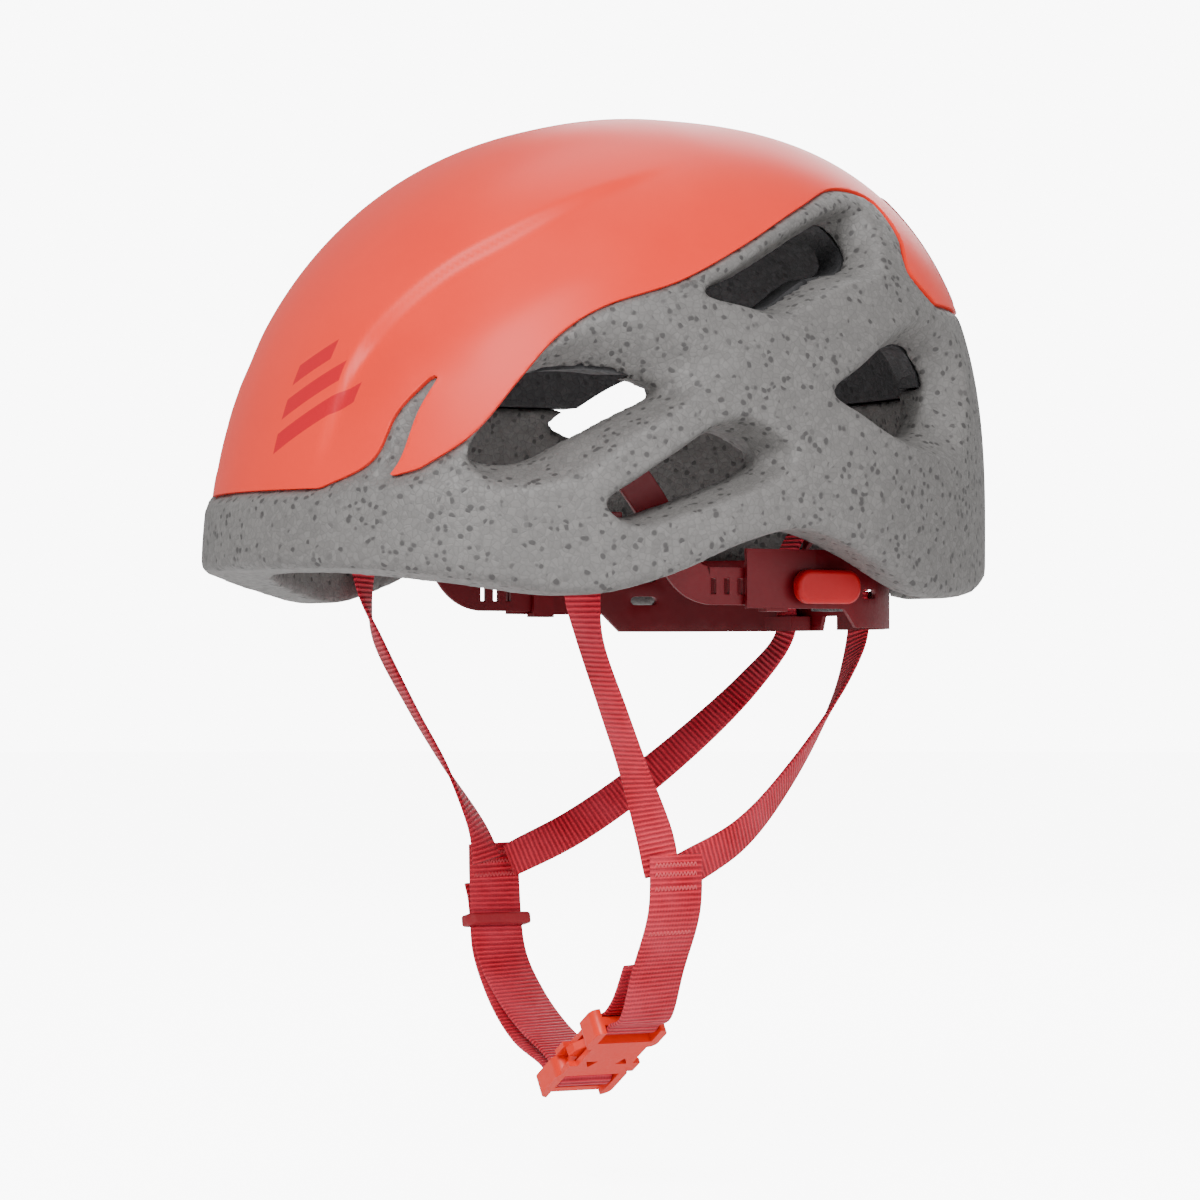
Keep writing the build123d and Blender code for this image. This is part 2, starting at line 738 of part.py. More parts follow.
def over_bar(middle, out):
    """Stations over one face of a buckle bar, along the pull."""
    reach = buckle_bar / 2 + bar_clear
    corner = out - math.copysign(0.5, out)
    return [
        (buckle_point(middle - reach, corner), level_across),
        (buckle_point(middle, out), level_across),
        (buckle_point(middle + reach, corner), level_across),
    ]


left_chin_stations = [
    ((junction_x, junction_y, junction_level), level_across),
    ((junction_x - 2, junction_y + 0.5, junction_level - 18), level_across),
    ((junction_x - 14, junction_y + 1.5, junction_level - 38), level_across),
    (buckle_point(bar_start - 8, loop_out + 1.2), level_across),
    *over_bar(bar_middle, loop_out),
    (buckle_point(bar_middle + buckle_bar / 2 + 1.7, 0), level_across),
    *reversed(over_bar(bar_middle, -loop_out)),
    (buckle_point(bar_start - 8, -loop_out - 0.6), level_across),
    ((junction_x - 19, junction_y + 1.5, junction_level - 36), level_across),
]
keeper_along = Vector(-0.2, 0, 0.98).normalized()
keeper_out = Vector(-0.98, 0, -0.2).normalized()
keeper_web = Vector(-junction_x + 2, junction_y + 0.5, junction_level - 26)
keeper_reach = 11


def beside_keeper(along, out):
    """Point on the right chin strap, from the middle of its keeper."""
    place = keeper_web + keeper_along * along + keeper_out * out
    return (place.X, place.Y, place.Z)


def bowed(start, end, share, bow):
    """Point between two others, bowed down and outward."""
    line = Vector(*end) - Vector(*start)
    place = Vector(*start) + line * share + line.cross(Vector(0, 1, 0)).normalized() * bow
    return (place.X, place.Y, place.Z)


middle_bar = first_slot + web_slot / 2 + buckle_bar / 2
chin_leaves = buckle_point(second_slot + 0.6, -11)
tail_leaves = buckle_point(second_slot + 3.6, -8)
chin_arrives = beside_keeper(-keeper_reach, 0)
tail_arrives = beside_keeper(-keeper_reach, tail_gap + 0.3)
right_chin_stations = [
    ((-junction_x, junction_y, junction_level), level_across),
    (beside_keeper(keeper_reach, 0), level_across),
    (chin_arrives, level_across),
    (bowed(chin_leaves, chin_arrives, 2 / 3, 4), level_across),
    (bowed(chin_leaves, chin_arrives, 1 / 3, 3.5), level_across),
    (chin_leaves, level_across),
    (buckle_point(middle_bar + 0.9, -5.5), level_across),
    (buckle_point(first_slot + 0.6, -2.6), level_across),
    (buckle_point(first_slot, 0), level_across),
    *over_bar(middle_bar, loop_out),
    (buckle_point(second_slot - 0.4, 0.8), level_across),
]
right_tail_stations = [
    (buckle_point(second_slot + 0.1, 0.1), level_across),
    (buckle_point(second_slot + 1, -2.6), level_across),
    (tail_leaves, level_across),
    (bowed(tail_leaves, tail_arrives, 1 / 3, 6), level_across),
    (bowed(tail_leaves, tail_arrives, 2 / 3, 6), level_across),
    (tail_arrives, level_across),
    (beside_keeper(8, tail_gap), level_across),
    (beside_keeper(13, tail_gap + 1.4), level_across),
]

finish(webbing(left_front_stations, narrow_web), "left_front_strap", "crimson")
finish(webbing(mirrored(left_front_stations), narrow_web), "right_front_strap", "crimson")
finish(webbing(left_rear_stations, narrow_web), "left_rear_strap", "crimson")
finish(webbing(mirrored(left_rear_stations), narrow_web), "right_rear_strap", "crimson")
finish(webbing(left_chin_stations, wide_web), "left_chin_strap", "crimson")
finish(webbing(right_chin_stations, wide_web), "right_chin_strap", "crimson")
finish(webbing(right_tail_stations, wide_web), "right_strap_tail", "crimson")

keeper_inner = tail_gap + web_wall + 2 * keeper_gap
keeper_middle = keeper_web + keeper_out * (tail_gap / 2)
with BuildPart() as strap_keeper:
    keeper_foot = keeper_middle - keeper_along * (keeper_height / 2)
    with BuildSketch(Plane(keeper_foot, x_dir=(0, 1, 0), z_dir=keeper_along)):
        RectangleRounded(wide_web + 2 * keeper_gap + 2 * keeper_wall, keeper_inner + 2 * keeper_wall, 3)
        RectangleRounded(wide_web + 2 * keeper_gap, keeper_inner, 1, mode=Mode.SUBTRACT)
    extrude(amount=keeper_height)
finish(strap_keeper.part, "strap_keeper", "crimson")


# ---------------------------------------------------------------- lamp clips

clip_length = window_length + 10
with BuildPart() as left_lamp_clip:
    add(dome(clip_lift + clip_wall))
    add(dome(clip_lift), mode=Mode.SUBTRACT)
    with BuildSketch(tail_plane(-12)):
        SlotOverall(clip_length, clip_width, rotation=90)
    extrude(amount=30, mode=Mode.INTERSECT)
    with BuildPart(mode=Mode.PRIVATE) as clip_foot:
        add(dome(clip_lift + clip_wall / 2))
        add(dome(fit_gap), mode=Mode.SUBTRACT)
        with BuildSketch(tail_plane(-12)):
            with Locations((0, 3 - clip_length / 2)):
                Circle(clip_width / 2 - 0.6)
        extrude(amount=30, mode=Mode.INTERSECT)
    add(clip_foot.part)
finish(left_lamp_clip.part, "left_lamp_clip", "crimson")
finish(left_lamp_clip.part.mirror(Plane.YZ), "right_lamp_clip", "crimson")
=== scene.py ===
import math

import bmesh
import bpy
import numpy as np
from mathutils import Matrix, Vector


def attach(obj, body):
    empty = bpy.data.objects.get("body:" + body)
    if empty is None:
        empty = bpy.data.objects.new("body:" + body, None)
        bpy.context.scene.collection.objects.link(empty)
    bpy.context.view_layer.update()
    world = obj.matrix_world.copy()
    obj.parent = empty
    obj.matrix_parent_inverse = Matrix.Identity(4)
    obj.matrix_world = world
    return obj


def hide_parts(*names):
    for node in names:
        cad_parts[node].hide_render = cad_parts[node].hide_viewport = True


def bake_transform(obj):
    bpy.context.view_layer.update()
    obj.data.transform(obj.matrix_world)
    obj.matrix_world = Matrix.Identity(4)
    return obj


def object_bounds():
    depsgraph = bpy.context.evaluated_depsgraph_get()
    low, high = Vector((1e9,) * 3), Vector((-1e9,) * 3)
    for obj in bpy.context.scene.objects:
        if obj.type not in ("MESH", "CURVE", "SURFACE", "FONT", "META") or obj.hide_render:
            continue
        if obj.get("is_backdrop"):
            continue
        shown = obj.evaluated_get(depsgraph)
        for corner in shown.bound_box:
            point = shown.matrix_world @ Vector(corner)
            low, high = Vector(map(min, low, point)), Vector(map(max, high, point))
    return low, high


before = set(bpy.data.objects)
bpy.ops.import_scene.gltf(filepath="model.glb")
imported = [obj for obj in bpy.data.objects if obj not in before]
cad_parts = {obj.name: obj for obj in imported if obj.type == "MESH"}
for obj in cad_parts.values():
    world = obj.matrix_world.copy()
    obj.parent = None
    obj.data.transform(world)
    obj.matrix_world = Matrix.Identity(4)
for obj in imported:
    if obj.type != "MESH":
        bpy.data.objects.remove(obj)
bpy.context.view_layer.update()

# Climbing helmet. Front is -Y, the wearer's left is +X and up is +Z.
# Shape tables are in millimetres, and meshes are made in metres.
MM = 0.001

# Outer form
HALF_WIDTH = 112.0
FRONT_LENGTH = 139.0
REAR_LENGTH = 128.0
DOME_HEIGHT = 153.0
DOME_CENTRE_Y = 5.0
WIDEST_LEVEL = -3.0
SHELL_WALL = 1.8
LINER_WALL = 22.0
CROWN_LINER_SEAM = 12.7
CROWN_LINER_EDGE = 59.7
VENT_REACH = 25.0
VENT_SLOPE_DEPTH = 13.0

# Foam's finer form
FOAM_GRID = 1.86
BROW_LIP = 1.8
SHELL_GAP = 0.4
BED_DEPTH = 3.2
RIM_CHAMFER = 2.6
VENT_EDGE = 0.7
RIM_EDGE = 1.4
FINGER_BAY_MIDDLE = (44, 4)
FINGER_BAY_HALF = (28, 26)
FINGER_BAY_SIDES = (75.9, 88)
FINGER_BAY_EDGE = 1.0

# Shell's finer form
WINDOW_X = 32.0
WINDOW_Z = 108.0
WINDOW_TILT = 52
WINDOW_HALF_WIDTH = 10
WINDOW_HALF_HEIGHT = 17
CREASE_DEPTH = 2.5
DIMPLE_DEPTH = 1.1
SHELL_AROUND = 460
SHELL_RISING = 132

# Thread
STITCH_PITCH = 1.3
STITCH_REACH = 0.8
THREAD_SIDES = 6

# View
CAMERA_AZIMUTH = 60
CAMERA_ELEVATION = -1
CAMERA_DISTANCE = 1.5
CAMERA_LENS = 135
AIM_LEVEL = -0.0093
FLOOR_DROP = 0.03
FLOOR_SIDES = 48

# Webbing
NARROW_WEB = 12.0
WIDE_WEB = 19.5
WEB_WALL = 1.3
RIB_PITCH = 0.0017


# ---------------------------------------------------------------- outlines in side view (y, z)

RIM_LINE = [
    (-160, -1), (-116, -1.6), (-91, -5.4), (-60, -9.7), (-35, -3.5), (-10, 7), (10.7, 11.2),
    (34, 4.3), (62, -8.6), (93, -8), (115, -3), (160, -2),
]
SHELL_RUNS = [
    [(-124, 24), (-114, 32), (-107, 47.5), (-99, 58)],
    [(-96, 59.5), (-102.5, 47.5), (-108, 32), (-110.7, 27)],
    [
        (-104, 29.5), (-91, 40), (-77, 58), (-65.6, 71), (-52, 80), (-26.5, 89), (-1.5, 101.5),
        (26, 116), (46, 124), (65, 121), (70, 109), (68, 97), (79, 87),
    ],
]
UPPER_VENT = (
    [(-93, 32), (-82, 51), (-66, 70), (-46, 76), (-24, 71), (-10, 64), (-29, 50),
     (-46, 39), (-58, 29.5), (-71, 24), (-86, 24)],
    [(-87, 34), (-82, 45), (-72, 58), (-57.5, 61), (-42, 59), (-31, 54), (-42, 47.5),
     (-57.5, 39), (-70, 32), (-80, 31)],
)
LOWER_VENT = (
    [(-56, 19), (-46, 27), (-33, 36), (-20, 44), (-9, 46.5), (3, 41), (8.5, 36), (7, 31),
     (-3, 25), (-16, 20), (-31, 15), (-45, 11), (-53, 14)],
    [(-52, 18), (-43, 25), (-30, 33.5), (-17, 41.5), (-9, 41), (1, 34), (-5, 28.5),
     (-16, 24), (-31, 18.5), (-46, 14.5)],
)
REAR_VENT = (
    [(-21, 85), (-8, 93), (7, 102), (23, 110), (38, 115.5), (54, 118), (58, 112), (56, 102),
     (51, 94.5), (35, 90.5), (20, 83), (8, 78), (-6, 81)],
    [(-14, 85.5), (-2, 91), (14, 99), (30, 107), (45, 112), (49, 103), (44, 96.5), (32, 93.5),
     (18, 87), (8, 82), (-3, 83)],
)
NAPE_VENT = (
    [(22, 55), (36, 65), (53, 76), (68, 81.5), (85, 76), (93, 66), (90, 50), (86, 37),
     (70, 35), (50, 40), (34, 48)],
    [(29, 54.5), (42, 63), (56, 71), (68, 72), (76, 62), (74, 50), (66, 43), (50, 44.5),
     (38, 49.5)],
)
# Crease along each side of the raised centre band of the shell (x, y, z)
BAND_CREASE = [
    (36, -124, 34), (36.5, -121, 43), (37, -118, 52), (39, -110, 70), (46, -99, 84),
    (54, -86, 96), (61, -72, 104), (67, -54, 114), (71, -27, 125), (69, -8, 131),
]


def curve_through(points, closed=False, pieces=8):
    """Smooth line through the points, in any number of dimensions."""
    p = np.array(points, float)
    if closed:
        p = np.vstack([p[-1], p, p[0], p[1]])
    else:
        p = np.vstack([2 * p[0] - p[1], p, 2 * p[-1] - p[-2]])
    line = []
    for i in range(1, len(p) - 2):
        a, b, c, d = p[i - 1 : i + 3]
        ab, bc, cd = (max(np.linalg.norm(v), 1e-9) ** 0.5 for v in (b - a, c - b, d - c))
        leave = (c - b) + bc * ((b - a) / ab - (c - a) / (ab + bc))
        arrive = (c - b) + bc * ((d - c) / cd - (d - b) / (bc + cd))
        for t in np.arange(pieces) / pieces:
            line.append(
                (2 * t**3 - 3 * t**2 + 1) * b + (t**3 - 2 * t**2 + t) * leave
                + (3 * t**2 - 2 * t**3) * c + (t**3 - t**2) * arrive
            )
    if not closed:
        line.append(p[-2])
    return np.array(line)


def inset_from(outline, y, z):
    """Signed distance to a closed outline in side view, below zero inside it."""
    shape = np.shape(y)
    y, z = np.ravel(y), np.ravel(z)
    near = np.full(y.shape, 1e9)
    within = np.zeros(y.shape, bool)
    for (ay, az), (by, bz) in zip(outline, np.roll(outline, -1, axis=0)):
        ey, ez = by - ay, bz - az
        t = np.clip(((y - ay) * ey + (z - az) * ez) / (ey * ey + ez * ez + 1e-12), 0, 1)
        near = np.minimum(near, (y - ay - t * ey) ** 2 + (z - az - t * ez) ** 2)
        if az != bz:
            crosses = (az > z) != (bz > z)
            within ^= crosses & (y < ay + (z - az) / (bz - az) * ey)
    return (np.sqrt(near) * np.where(within, -1, 1)).reshape(shape)


shell_line = np.vstack(
    [[(160, 86), (160, 200), (-160, 200), (-160, 24.5)]]
    + [curve_through(run) for run in SHELL_RUNS]
)
below_rim = np.vstack([curve_through(RIM_LINE), [(160, -60), (-160, -60)]])
vents = [
    [curve_through(outline, closed=True, pieces=5) for outline in pair]
    for pair in (UPPER_VENT, LOWER_VENT, REAR_VENT, NAPE_VENT)
]


def ease(low, high, value):
    """Smooth step from 0 at low to 1 at high."""
    t = np.clip((value - low) / (high - low), 0, 1)
    return t * t * (3 - 2 * t)


def cut_away(body, tool, radius):
    """Body with a tool taken out of it and the edge rounded."""
    h = np.clip(0.5 + (body + tool) / (2 * radius), 0, 1)
    return body * h - tool * (1 - h) + radius * h * (1 - h)


def dome_measure(x, y, level, growth=0.0):
    """Below 1 inside the dome and above 1 outside it."""
    along = y - DOME_CENTRE_Y
    up = np.maximum(level - WIDEST_LEVEL, 0)
    length = np.where(along > 0, REAR_LENGTH, FRONT_LENGTH) + growth
    fullness = np.where(along > 0, 2.65, 2.0)
    profile = (np.abs(along) / length) ** fullness + (up / (DOME_HEIGHT + growth)) ** fullness
    steepness = up**2 / (along**2 + up**2 + 1e-9)
    side = 2.05 + 0.55 * steepness
    return (np.abs(x) / (HALF_WIDTH + growth)) ** side + profile ** (side / fullness)


def window_inset(x, y, z):
    """Signed distance to the oval tail windows, below zero inside them."""
    slope = math.radians(WINDOW_TILT)
    outward = np.array([0.22, math.cos(slope), math.sin(slope)])
    outward /= np.linalg.norm(outward)
    across = np.array([math.cos(slope), -0.22, 0])
    across /= np.linalg.norm(across)
    upward = np.cross(outward, across)
    px, py, pz = np.abs(x) - WINDOW_X, y - tail_y, z - WINDOW_Z
    u = px * across[0] + py * across[1] + pz * across[2]
    v = px * upward[0] + py * upward[1] + pz * upward[2]
    w = px * outward[0] + py * outward[1] + pz * outward[2]
    oval = (np.sqrt((u / WINDOW_HALF_WIDTH) ** 2 + (v / WINDOW_HALF_HEIGHT) ** 2) - 1) * 11
    return np.maximum(oval, np.abs(w) - 22)


# Where the dome's tail passes the middle of the windows
tail_near, tail_far = DOME_CENTRE_Y, 2 * REAR_LENGTH
for _ in range(40):
    tail_y = (tail_near + tail_far) / 2
    if dome_measure(WINDOW_X, tail_y, WINDOW_Z) < 1:
        tail_near = tail_y
    else:
        tail_far = tail_y


# ---------------------------------------------------------------- materials


def add_node(tree, kind, inputs=None, **settings):
    """Node with its inputs linked to sockets or set to values."""
    made = tree.nodes.new(kind)
    for key, value in settings.items():
        setattr(made, key, value)
    for key, value in (inputs or {}).items():
        if isinstance(value, bpy.types.NodeSocket):
            tree.links.new(value, made.inputs[key])
        else:
            made.inputs[key].default_value = value
    return made


def sums(tree, operation, a, b=0.0):
    """Output of a Math node."""
    return add_node(tree, "ShaderNodeMath", {0: a, 1: b}, operation=operation).outputs[0]


def spread(tree, value, low, high, out_low=0.0, out_high=1.0):
    """Value carried from one range to another and kept inside it."""
    made = add_node(
        tree, "ShaderNodeMapRange",
        {"Value": value, "From Min": low, "From Max": high, "To Min": out_low, "To Max": out_high},
    )
    return made.outputs["Result"]


def blend_colours(tree, share, a, b):
    """Colour a where the share is 0, and b where it is 1."""
    made = add_node(tree, "ShaderNodeMix", {0: share, 6: a, 7: b}, data_type="RGBA")
    return made.outputs[2]


def new_group(name, inputs, outputs):
    """Empty node group with its sockets, its input node and its output node."""
    tree = bpy.data.node_groups.new(name, "ShaderNodeTree")
    for socket, kind, value in inputs:
        made = tree.interface.new_socket(name=socket, in_out="INPUT", socket_type=kind)
        if value is not None:
            made.default_value = value
    for socket, kind in outputs:
        tree.interface.new_socket(name=socket, in_out="OUTPUT", socket_type=kind)
    return tree, tree.nodes.new("NodeGroupInput"), tree.nodes.new("NodeGroupOutput")


def bead_foam_group():
    """Expanded foam: packed beads, some of them dark, with soft seams between."""
    tree, given, result = new_group(
        "bead_foam",
        [("Place", "NodeSocketVector", None), ("Beads", "NodeSocketFloat", 380.0)],
        [("Shade", "NodeSocketFloat"), ("Dark", "NodeSocketFloat"), ("Height", "NodeSocketFloat")],
    )
    place = given.outputs["Place"]
    wobble = add_node(tree, "ShaderNodeTexNoise", {"Vector": place, "Scale": 160.0, "Detail": 2.0})
    shifted = add_node(
        tree, "ShaderNodeVectorMath",
        {0: wobble.outputs["Color"], "Scale": 0.0022}, operation="SCALE",
    )
    moved = add_node(
        tree, "ShaderNodeVectorMath", {0: place, 1: shifted.outputs[0]}, operation="ADD"
    ).outputs[0]
    beads = given.outputs["Beads"]
    cells = add_node(tree, "ShaderNodeTexVoronoi", {"Vector": moved, "Scale": beads})
    seams = add_node(
        tree, "ShaderNodeTexVoronoi", {"Vector": moved, "Scale": beads}, feature="DISTANCE_TO_EDGE"
    )
    split = add_node(tree, "ShaderNodeSeparateColor", {"Color": cells.outputs["Color"]})
    round_spot = spread(tree, cells.outputs["Distance"], 0.62, 0.38)
    dark = sums(tree, "MULTIPLY", spread(tree, split.outputs["Red"], 0.80, 0.86), round_spot)
    cloud = add_node(tree, "ShaderNodeTexNoise", {"Vector": place, "Scale": 26.0, "Detail": 3.0})
    ridge = spread(tree, seams.outputs["Distance"], 0.0, 0.16, 0.6, 1.0)
    tint = spread(tree, split.outputs["Green"], 0.0, 1.0, 0.55, 1.05)
    shade = sums(tree, "MULTIPLY", tint, ridge)
    shade = sums(tree, "ADD", shade, spread(tree, cloud.outputs["Fac"], 0.3, 0.7, -0.12, 0.12))
    tree.links.new(shade, result.inputs["Shade"])
    tree.links.new(dark, result.inputs["Dark"])
    tree.links.new(ridge, result.inputs["Height"])
    return tree


def moulded_grain_group():
    """Fine surface grain of a moulded part, with slow blotches of handling."""
    tree, given, result = new_group(
        "moulded_grain",
        [("Place", "NodeSocketVector", None), ("Fineness", "NodeSocketFloat", 900.0)],
        [("Grain", "NodeSocketFloat"), ("Blotch", "NodeSocketFloat")],
    )
    place = given.outputs["Place"]
    grain = add_node(
        tree, "ShaderNodeTexNoise",
        {"Vector": place, "Scale": given.outputs["Fineness"], "Detail": 2.0, "Roughness": 0.6},
    )
    blotch = add_node(tree, "ShaderNodeTexNoise", {"Vector": place, "Scale": 22.0, "Detail": 4.0})
    tree.links.new(grain.outputs["Fac"], result.inputs["Grain"])
    tree.links.new(spread(tree, blotch.outputs["Fac"], 0.35, 0.65), result.inputs["Blotch"])
    return tree


def web_ribs_group():
    """Cross ribs of flat webbing, broken by its warp, with slow patches of fading."""
    tree, given, result = new_group(
        "web_ribs",
        [("Place", "NodeSocketVector", None), ("Pitch", "NodeSocketFloat", RIB_PITCH)],
        [("Rib", "NodeSocketFloat"), ("Height", "NodeSocketFloat"), ("Fade", "NodeSocketFloat")],
    )
    parts = add_node(tree, "ShaderNodeSeparateXYZ", {"Vector": given.outputs["Place"]})
    along, across = parts.outputs["X"], parts.outputs["Y"]
    wander = add_node(
        tree, "ShaderNodeTexNoise", {"Vector": given.outputs["Place"], "Scale": 420.0}
    ).outputs["Fac"]
    turn = sums(tree, "MULTIPLY", sums(tree, "DIVIDE", along, given.outputs["Pitch"]), math.tau)
    turn = sums(tree, "ADD", turn, sums(tree, "MULTIPLY", wander, 1.4))
    rib = spread(tree, sums(tree, "SINE", turn), -1.0, 1.0)
    warp = sums(tree, "SINE", sums(tree, "MULTIPLY", across, math.tau / 0.0011))
    height = sums(tree, "ADD", rib, sums(tree, "MULTIPLY", warp, 0.05))
    fade = add_node(
        tree, "ShaderNodeTexNoise",
        {"Vector": given.outputs["Place"], "Scale": 55.0, "Detail": 3.0},
    )
    tree.links.new(rib, result.inputs["Rib"])
    tree.links.new(height, result.inputs["Height"])
    tree.links.new(spread(tree, fade.outputs["Fac"], 0.35, 0.65), result.inputs["Fade"])
    return tree


def new_material(name, group, uses_uv=False, **shader_values):
    """Material with its place, one placed effect group and a shader."""
    material = bpy.data.materials.new(name)
    material.use_nodes = True
    tree = material.node_tree
    shader = tree.nodes["Principled BSDF"]
    for key, value in shader_values.items():
        shader.inputs[key.replace("_", " ")].default_value = value
    place = add_node(tree, "ShaderNodeTexCoord").outputs["UV" if uses_uv else "Object"]
    effect = add_node(tree, "ShaderNodeGroup", node_tree=group)
    tree.links.new(place, effect.inputs["Place"])
    return material, tree, shader, effect, place


def raise_surface(tree, shader, height, distance, strength=1.0):
    """Fine relief on a shader's normal; the distance is in metres."""
    bump = add_node(
        tree, "ShaderNodeBump", {"Height": height, "Distance": distance, "Strength": strength}
    )
    tree.links.new(bump.outputs["Normal"], shader.inputs["Normal"])


def foam_material(name, light, dark, speck, beads):
    """Bead foam in two shades, with darker specks."""
    material, tree, shader, effect, _ = new_material(name, bead_foam)
    effect.inputs["Beads"].default_value = beads
    base = blend_colours(tree, effect.outputs["Shade"], dark, light)
    colour = blend_colours(tree, effect.outputs["Dark"], base, speck)
    tree.links.new(colour, shader.inputs["Base Color"])
    tree.links.new(
        spread(tree, effect.outputs["Shade"], 0.0, 1.0, 0.72, 0.52), shader.inputs["Roughness"]
    )
    raise_surface(tree, shader, effect.outputs["Height"], 0.00022, 0.7)
    return material


def shell_material():
    """Satin orange-red shell with three plain slanted bars on the front of the wearer's left side.
    """
    material, tree, shader, effect, place = new_material(
        "shell_satin", moulded_grain, Specular_IOR_Level=0.28
    )
    effect.inputs["Fineness"].default_value = 1500.0
    parts = add_node(tree, "ShaderNodeSeparateXYZ", {"Vector": place})
    x, y, z = parts.outputs["X"], parts.outputs["Y"], parts.outputs["Z"]
    lean = sums(tree, "SUBTRACT", z, sums(tree, "MULTIPLY", x, 0.55))
    bars = None
    for level, reach in ((0.030, 0.044), (0.041, 0.037), (0.052, 0.030)):
        off = sums(tree, "ABSOLUTE", sums(tree, "SUBTRACT", lean, level))
        bar = spread(tree, off, 0.0034, 0.0030)
        start = spread(tree, x, 0.0155, 0.0159)
        end = spread(tree, x, reach, reach - 0.0004)
        bar = sums(tree, "MULTIPLY", bar, sums(tree, "MULTIPLY", start, end))
        bars = bar if bars is None else sums(tree, "MAXIMUM", bars, bar)
    bars = sums(tree, "MULTIPLY", bars, sums(tree, "LESS_THAN", y, 0.0))
    satin = blend_colours(
        tree, effect.outputs["Blotch"], (0.86, 0.030, 0.012, 1), (0.90, 0.036, 0.015, 1)
    )
    colour = blend_colours(tree, bars, satin, (0.56, 0.001, 0.014, 1))
    tree.links.new(colour, shader.inputs["Base Color"])
    tree.links.new(
        spread(tree, effect.outputs["Blotch"], 0.0, 1.0, 0.36, 0.42), shader.inputs["Roughness"]
    )
    raise_surface(tree, shader, effect.outputs["Grain"], 0.00002, 0.5)
    return material


def moulded_material(name, deep, bright, low, high, fineness=900.0, depth=0.00003, **values):
    """Moulded part in two close shades, its roughness between low and high."""
    material, tree, shader, effect, _ = new_material(name, moulded_grain, **values)
    effect.inputs["Fineness"].default_value = fineness
    colour = blend_colours(tree, effect.outputs["Blotch"], deep, bright)
    tree.links.new(colour, shader.inputs["Base Color"])
    tree.links.new(
        spread(tree, effect.outputs["Grain"], 0.3, 0.7, low, high), shader.inputs["Roughness"]
    )
    raise_surface(tree, shader, effect.outputs["Grain"], depth, 0.6)
    return material


def web_material(name, deep, bright, faded):
    """Ribbed webbing, with painted shade between its ribs, a painted highlight on them, and faded
    in patches.
    """
    material, tree, shader, effect, _ = new_material(
        name, web_ribs, uses_uv=True,
        Specular_IOR_Level=0.25, Sheen_Weight=0.06, Sheen_Roughness=0.4,
    )
    # Painted highlight on the rib tops and painted shade in the grooves between them.
    rib_highlight_groove_shade = blend_colours(tree, effect.outputs["Rib"], deep, bright)
    share = sums(tree, "MULTIPLY", effect.outputs["Fade"], 0.35)
    tree.links.new(blend_colours(tree, share, rib_highlight_groove_shade, faded), shader.inputs["Base Color"])
    tree.links.new(
        spread(tree, effect.outputs["Rib"], 0.0, 1.0, 0.75, 0.5), shader.inputs["Roughness"]
    )
    raise_surface(tree, shader, effect.outputs["Height"], 0.00045)
    return material


def pad_material():
    """Dark brushed knit over foam."""
    material, tree, shader, effect, place = new_material(
        "pad_knit", moulded_grain, Sheen_Weight=0.4, Sheen_Roughness=0.5
    )
    effect.inputs["Fineness"].default_value = 1200.0
    loops = add_node(tree, "ShaderNodeTexVoronoi", {"Vector": place, "Scale": 900.0})
    colour = blend_colours(
        tree, loops.outputs["Distance"], (0.03, 0.03, 0.032, 1), (0.012, 0.012, 0.014, 1)
    )
    tree.links.new(colour, shader.inputs["Base Color"])
    tree.links.new(
        spread(tree, effect.outputs["Blotch"], 0.0, 1.0, 0.85, 0.95), shader.inputs["Roughness"]
    )
    raise_surface(tree, shader, loops.outputs["Distance"], 0.0003)
    return material


def paper_material():
    """Plain pale studio floor."""
    material, tree, shader, effect, _ = new_material("floor_paper", moulded_grain)
    effect.inputs["Fineness"].default_value = 60.0
    colour = blend_colours(
        tree, effect.outputs["Blotch"], (0.93, 0.93, 0.93, 1), (0.95, 0.95, 0.95, 1)
    )
    tree.links.new(colour, shader.inputs["Base Color"])
    tree.links.new(
        spread(tree, effect.outputs["Grain"], 0.3, 0.7, 0.85, 0.95), shader.inputs["Roughness"]
    )
    seen = add_node(tree, "ShaderNodeLightPath").outputs["Is Camera Ray"]
    shader.inputs["Emission Color"].default_value = (1, 1, 1, 1)
    tree.links.new(spread(tree, seen, 0.0, 1.0, 0.0, 8.0), shader.inputs["Emission Strength"])
    return material


bead_foam = bead_foam_group()
moulded_grain = moulded_grain_group()
web_ribs = web_ribs_group()

SHELL_SATIN = shell_material()
LINER_FOAM = foam_material(
    "liner_foam", (0.168, 0.161, 0.156, 1), (0.095, 0.091, 0.088, 1),
    (0.055, 0.052, 0.051, 1), 520.0,
)
CROWN_FOAM = foam_material(
    "crown_foam", (0.045, 0.045, 0.047, 1), (0.018, 0.018, 0.02, 1),
    (0.012, 0.012, 0.013, 1), 480.0,
)
# The deep colour is painted shade between the ribs, and the bright one a painted highlight on
# them.
WEBBING = web_material(
    "webbing_crimson", (0.26, 0.001, 0.008, 1), (0.72, 0.014, 0.040, 1), (0.78, 0.08, 0.12, 1)
)
THREAD = moulded_material(
    "thread_pale", (0.56, 0.04, 0.06, 1), (0.68, 0.08, 0.1, 1), 0.5, 0.7, 2600.0, 0.00008
)
ADJUSTER = moulded_material(
    "adjuster_crimson", (0.11, 0.0006, 0.004, 1), (0.16, 0.001, 0.006, 1), 0.34, 0.48,
    Specular_IOR_Level=0.3,
)
FINGER_PAD = moulded_material(
    "finger_pad_red", (0.40, 0.003, 0.006, 1), (0.48, 0.005, 0.008, 1), 0.38, 0.5,
    Specular_IOR_Level=0.3,
)
BUCKLE = moulded_material(
    "buckle_red", (0.80, 0.024, 0.008, 1), (0.86, 0.03, 0.01, 1), 0.3, 0.42, Specular_IOR_Level=0.3
)
KEEPER = moulded_material(
    "keeper_rubber", (0.26, 0.001, 0.008, 1), (0.34, 0.003, 0.012, 1), 0.55, 0.7, 1400.0
)
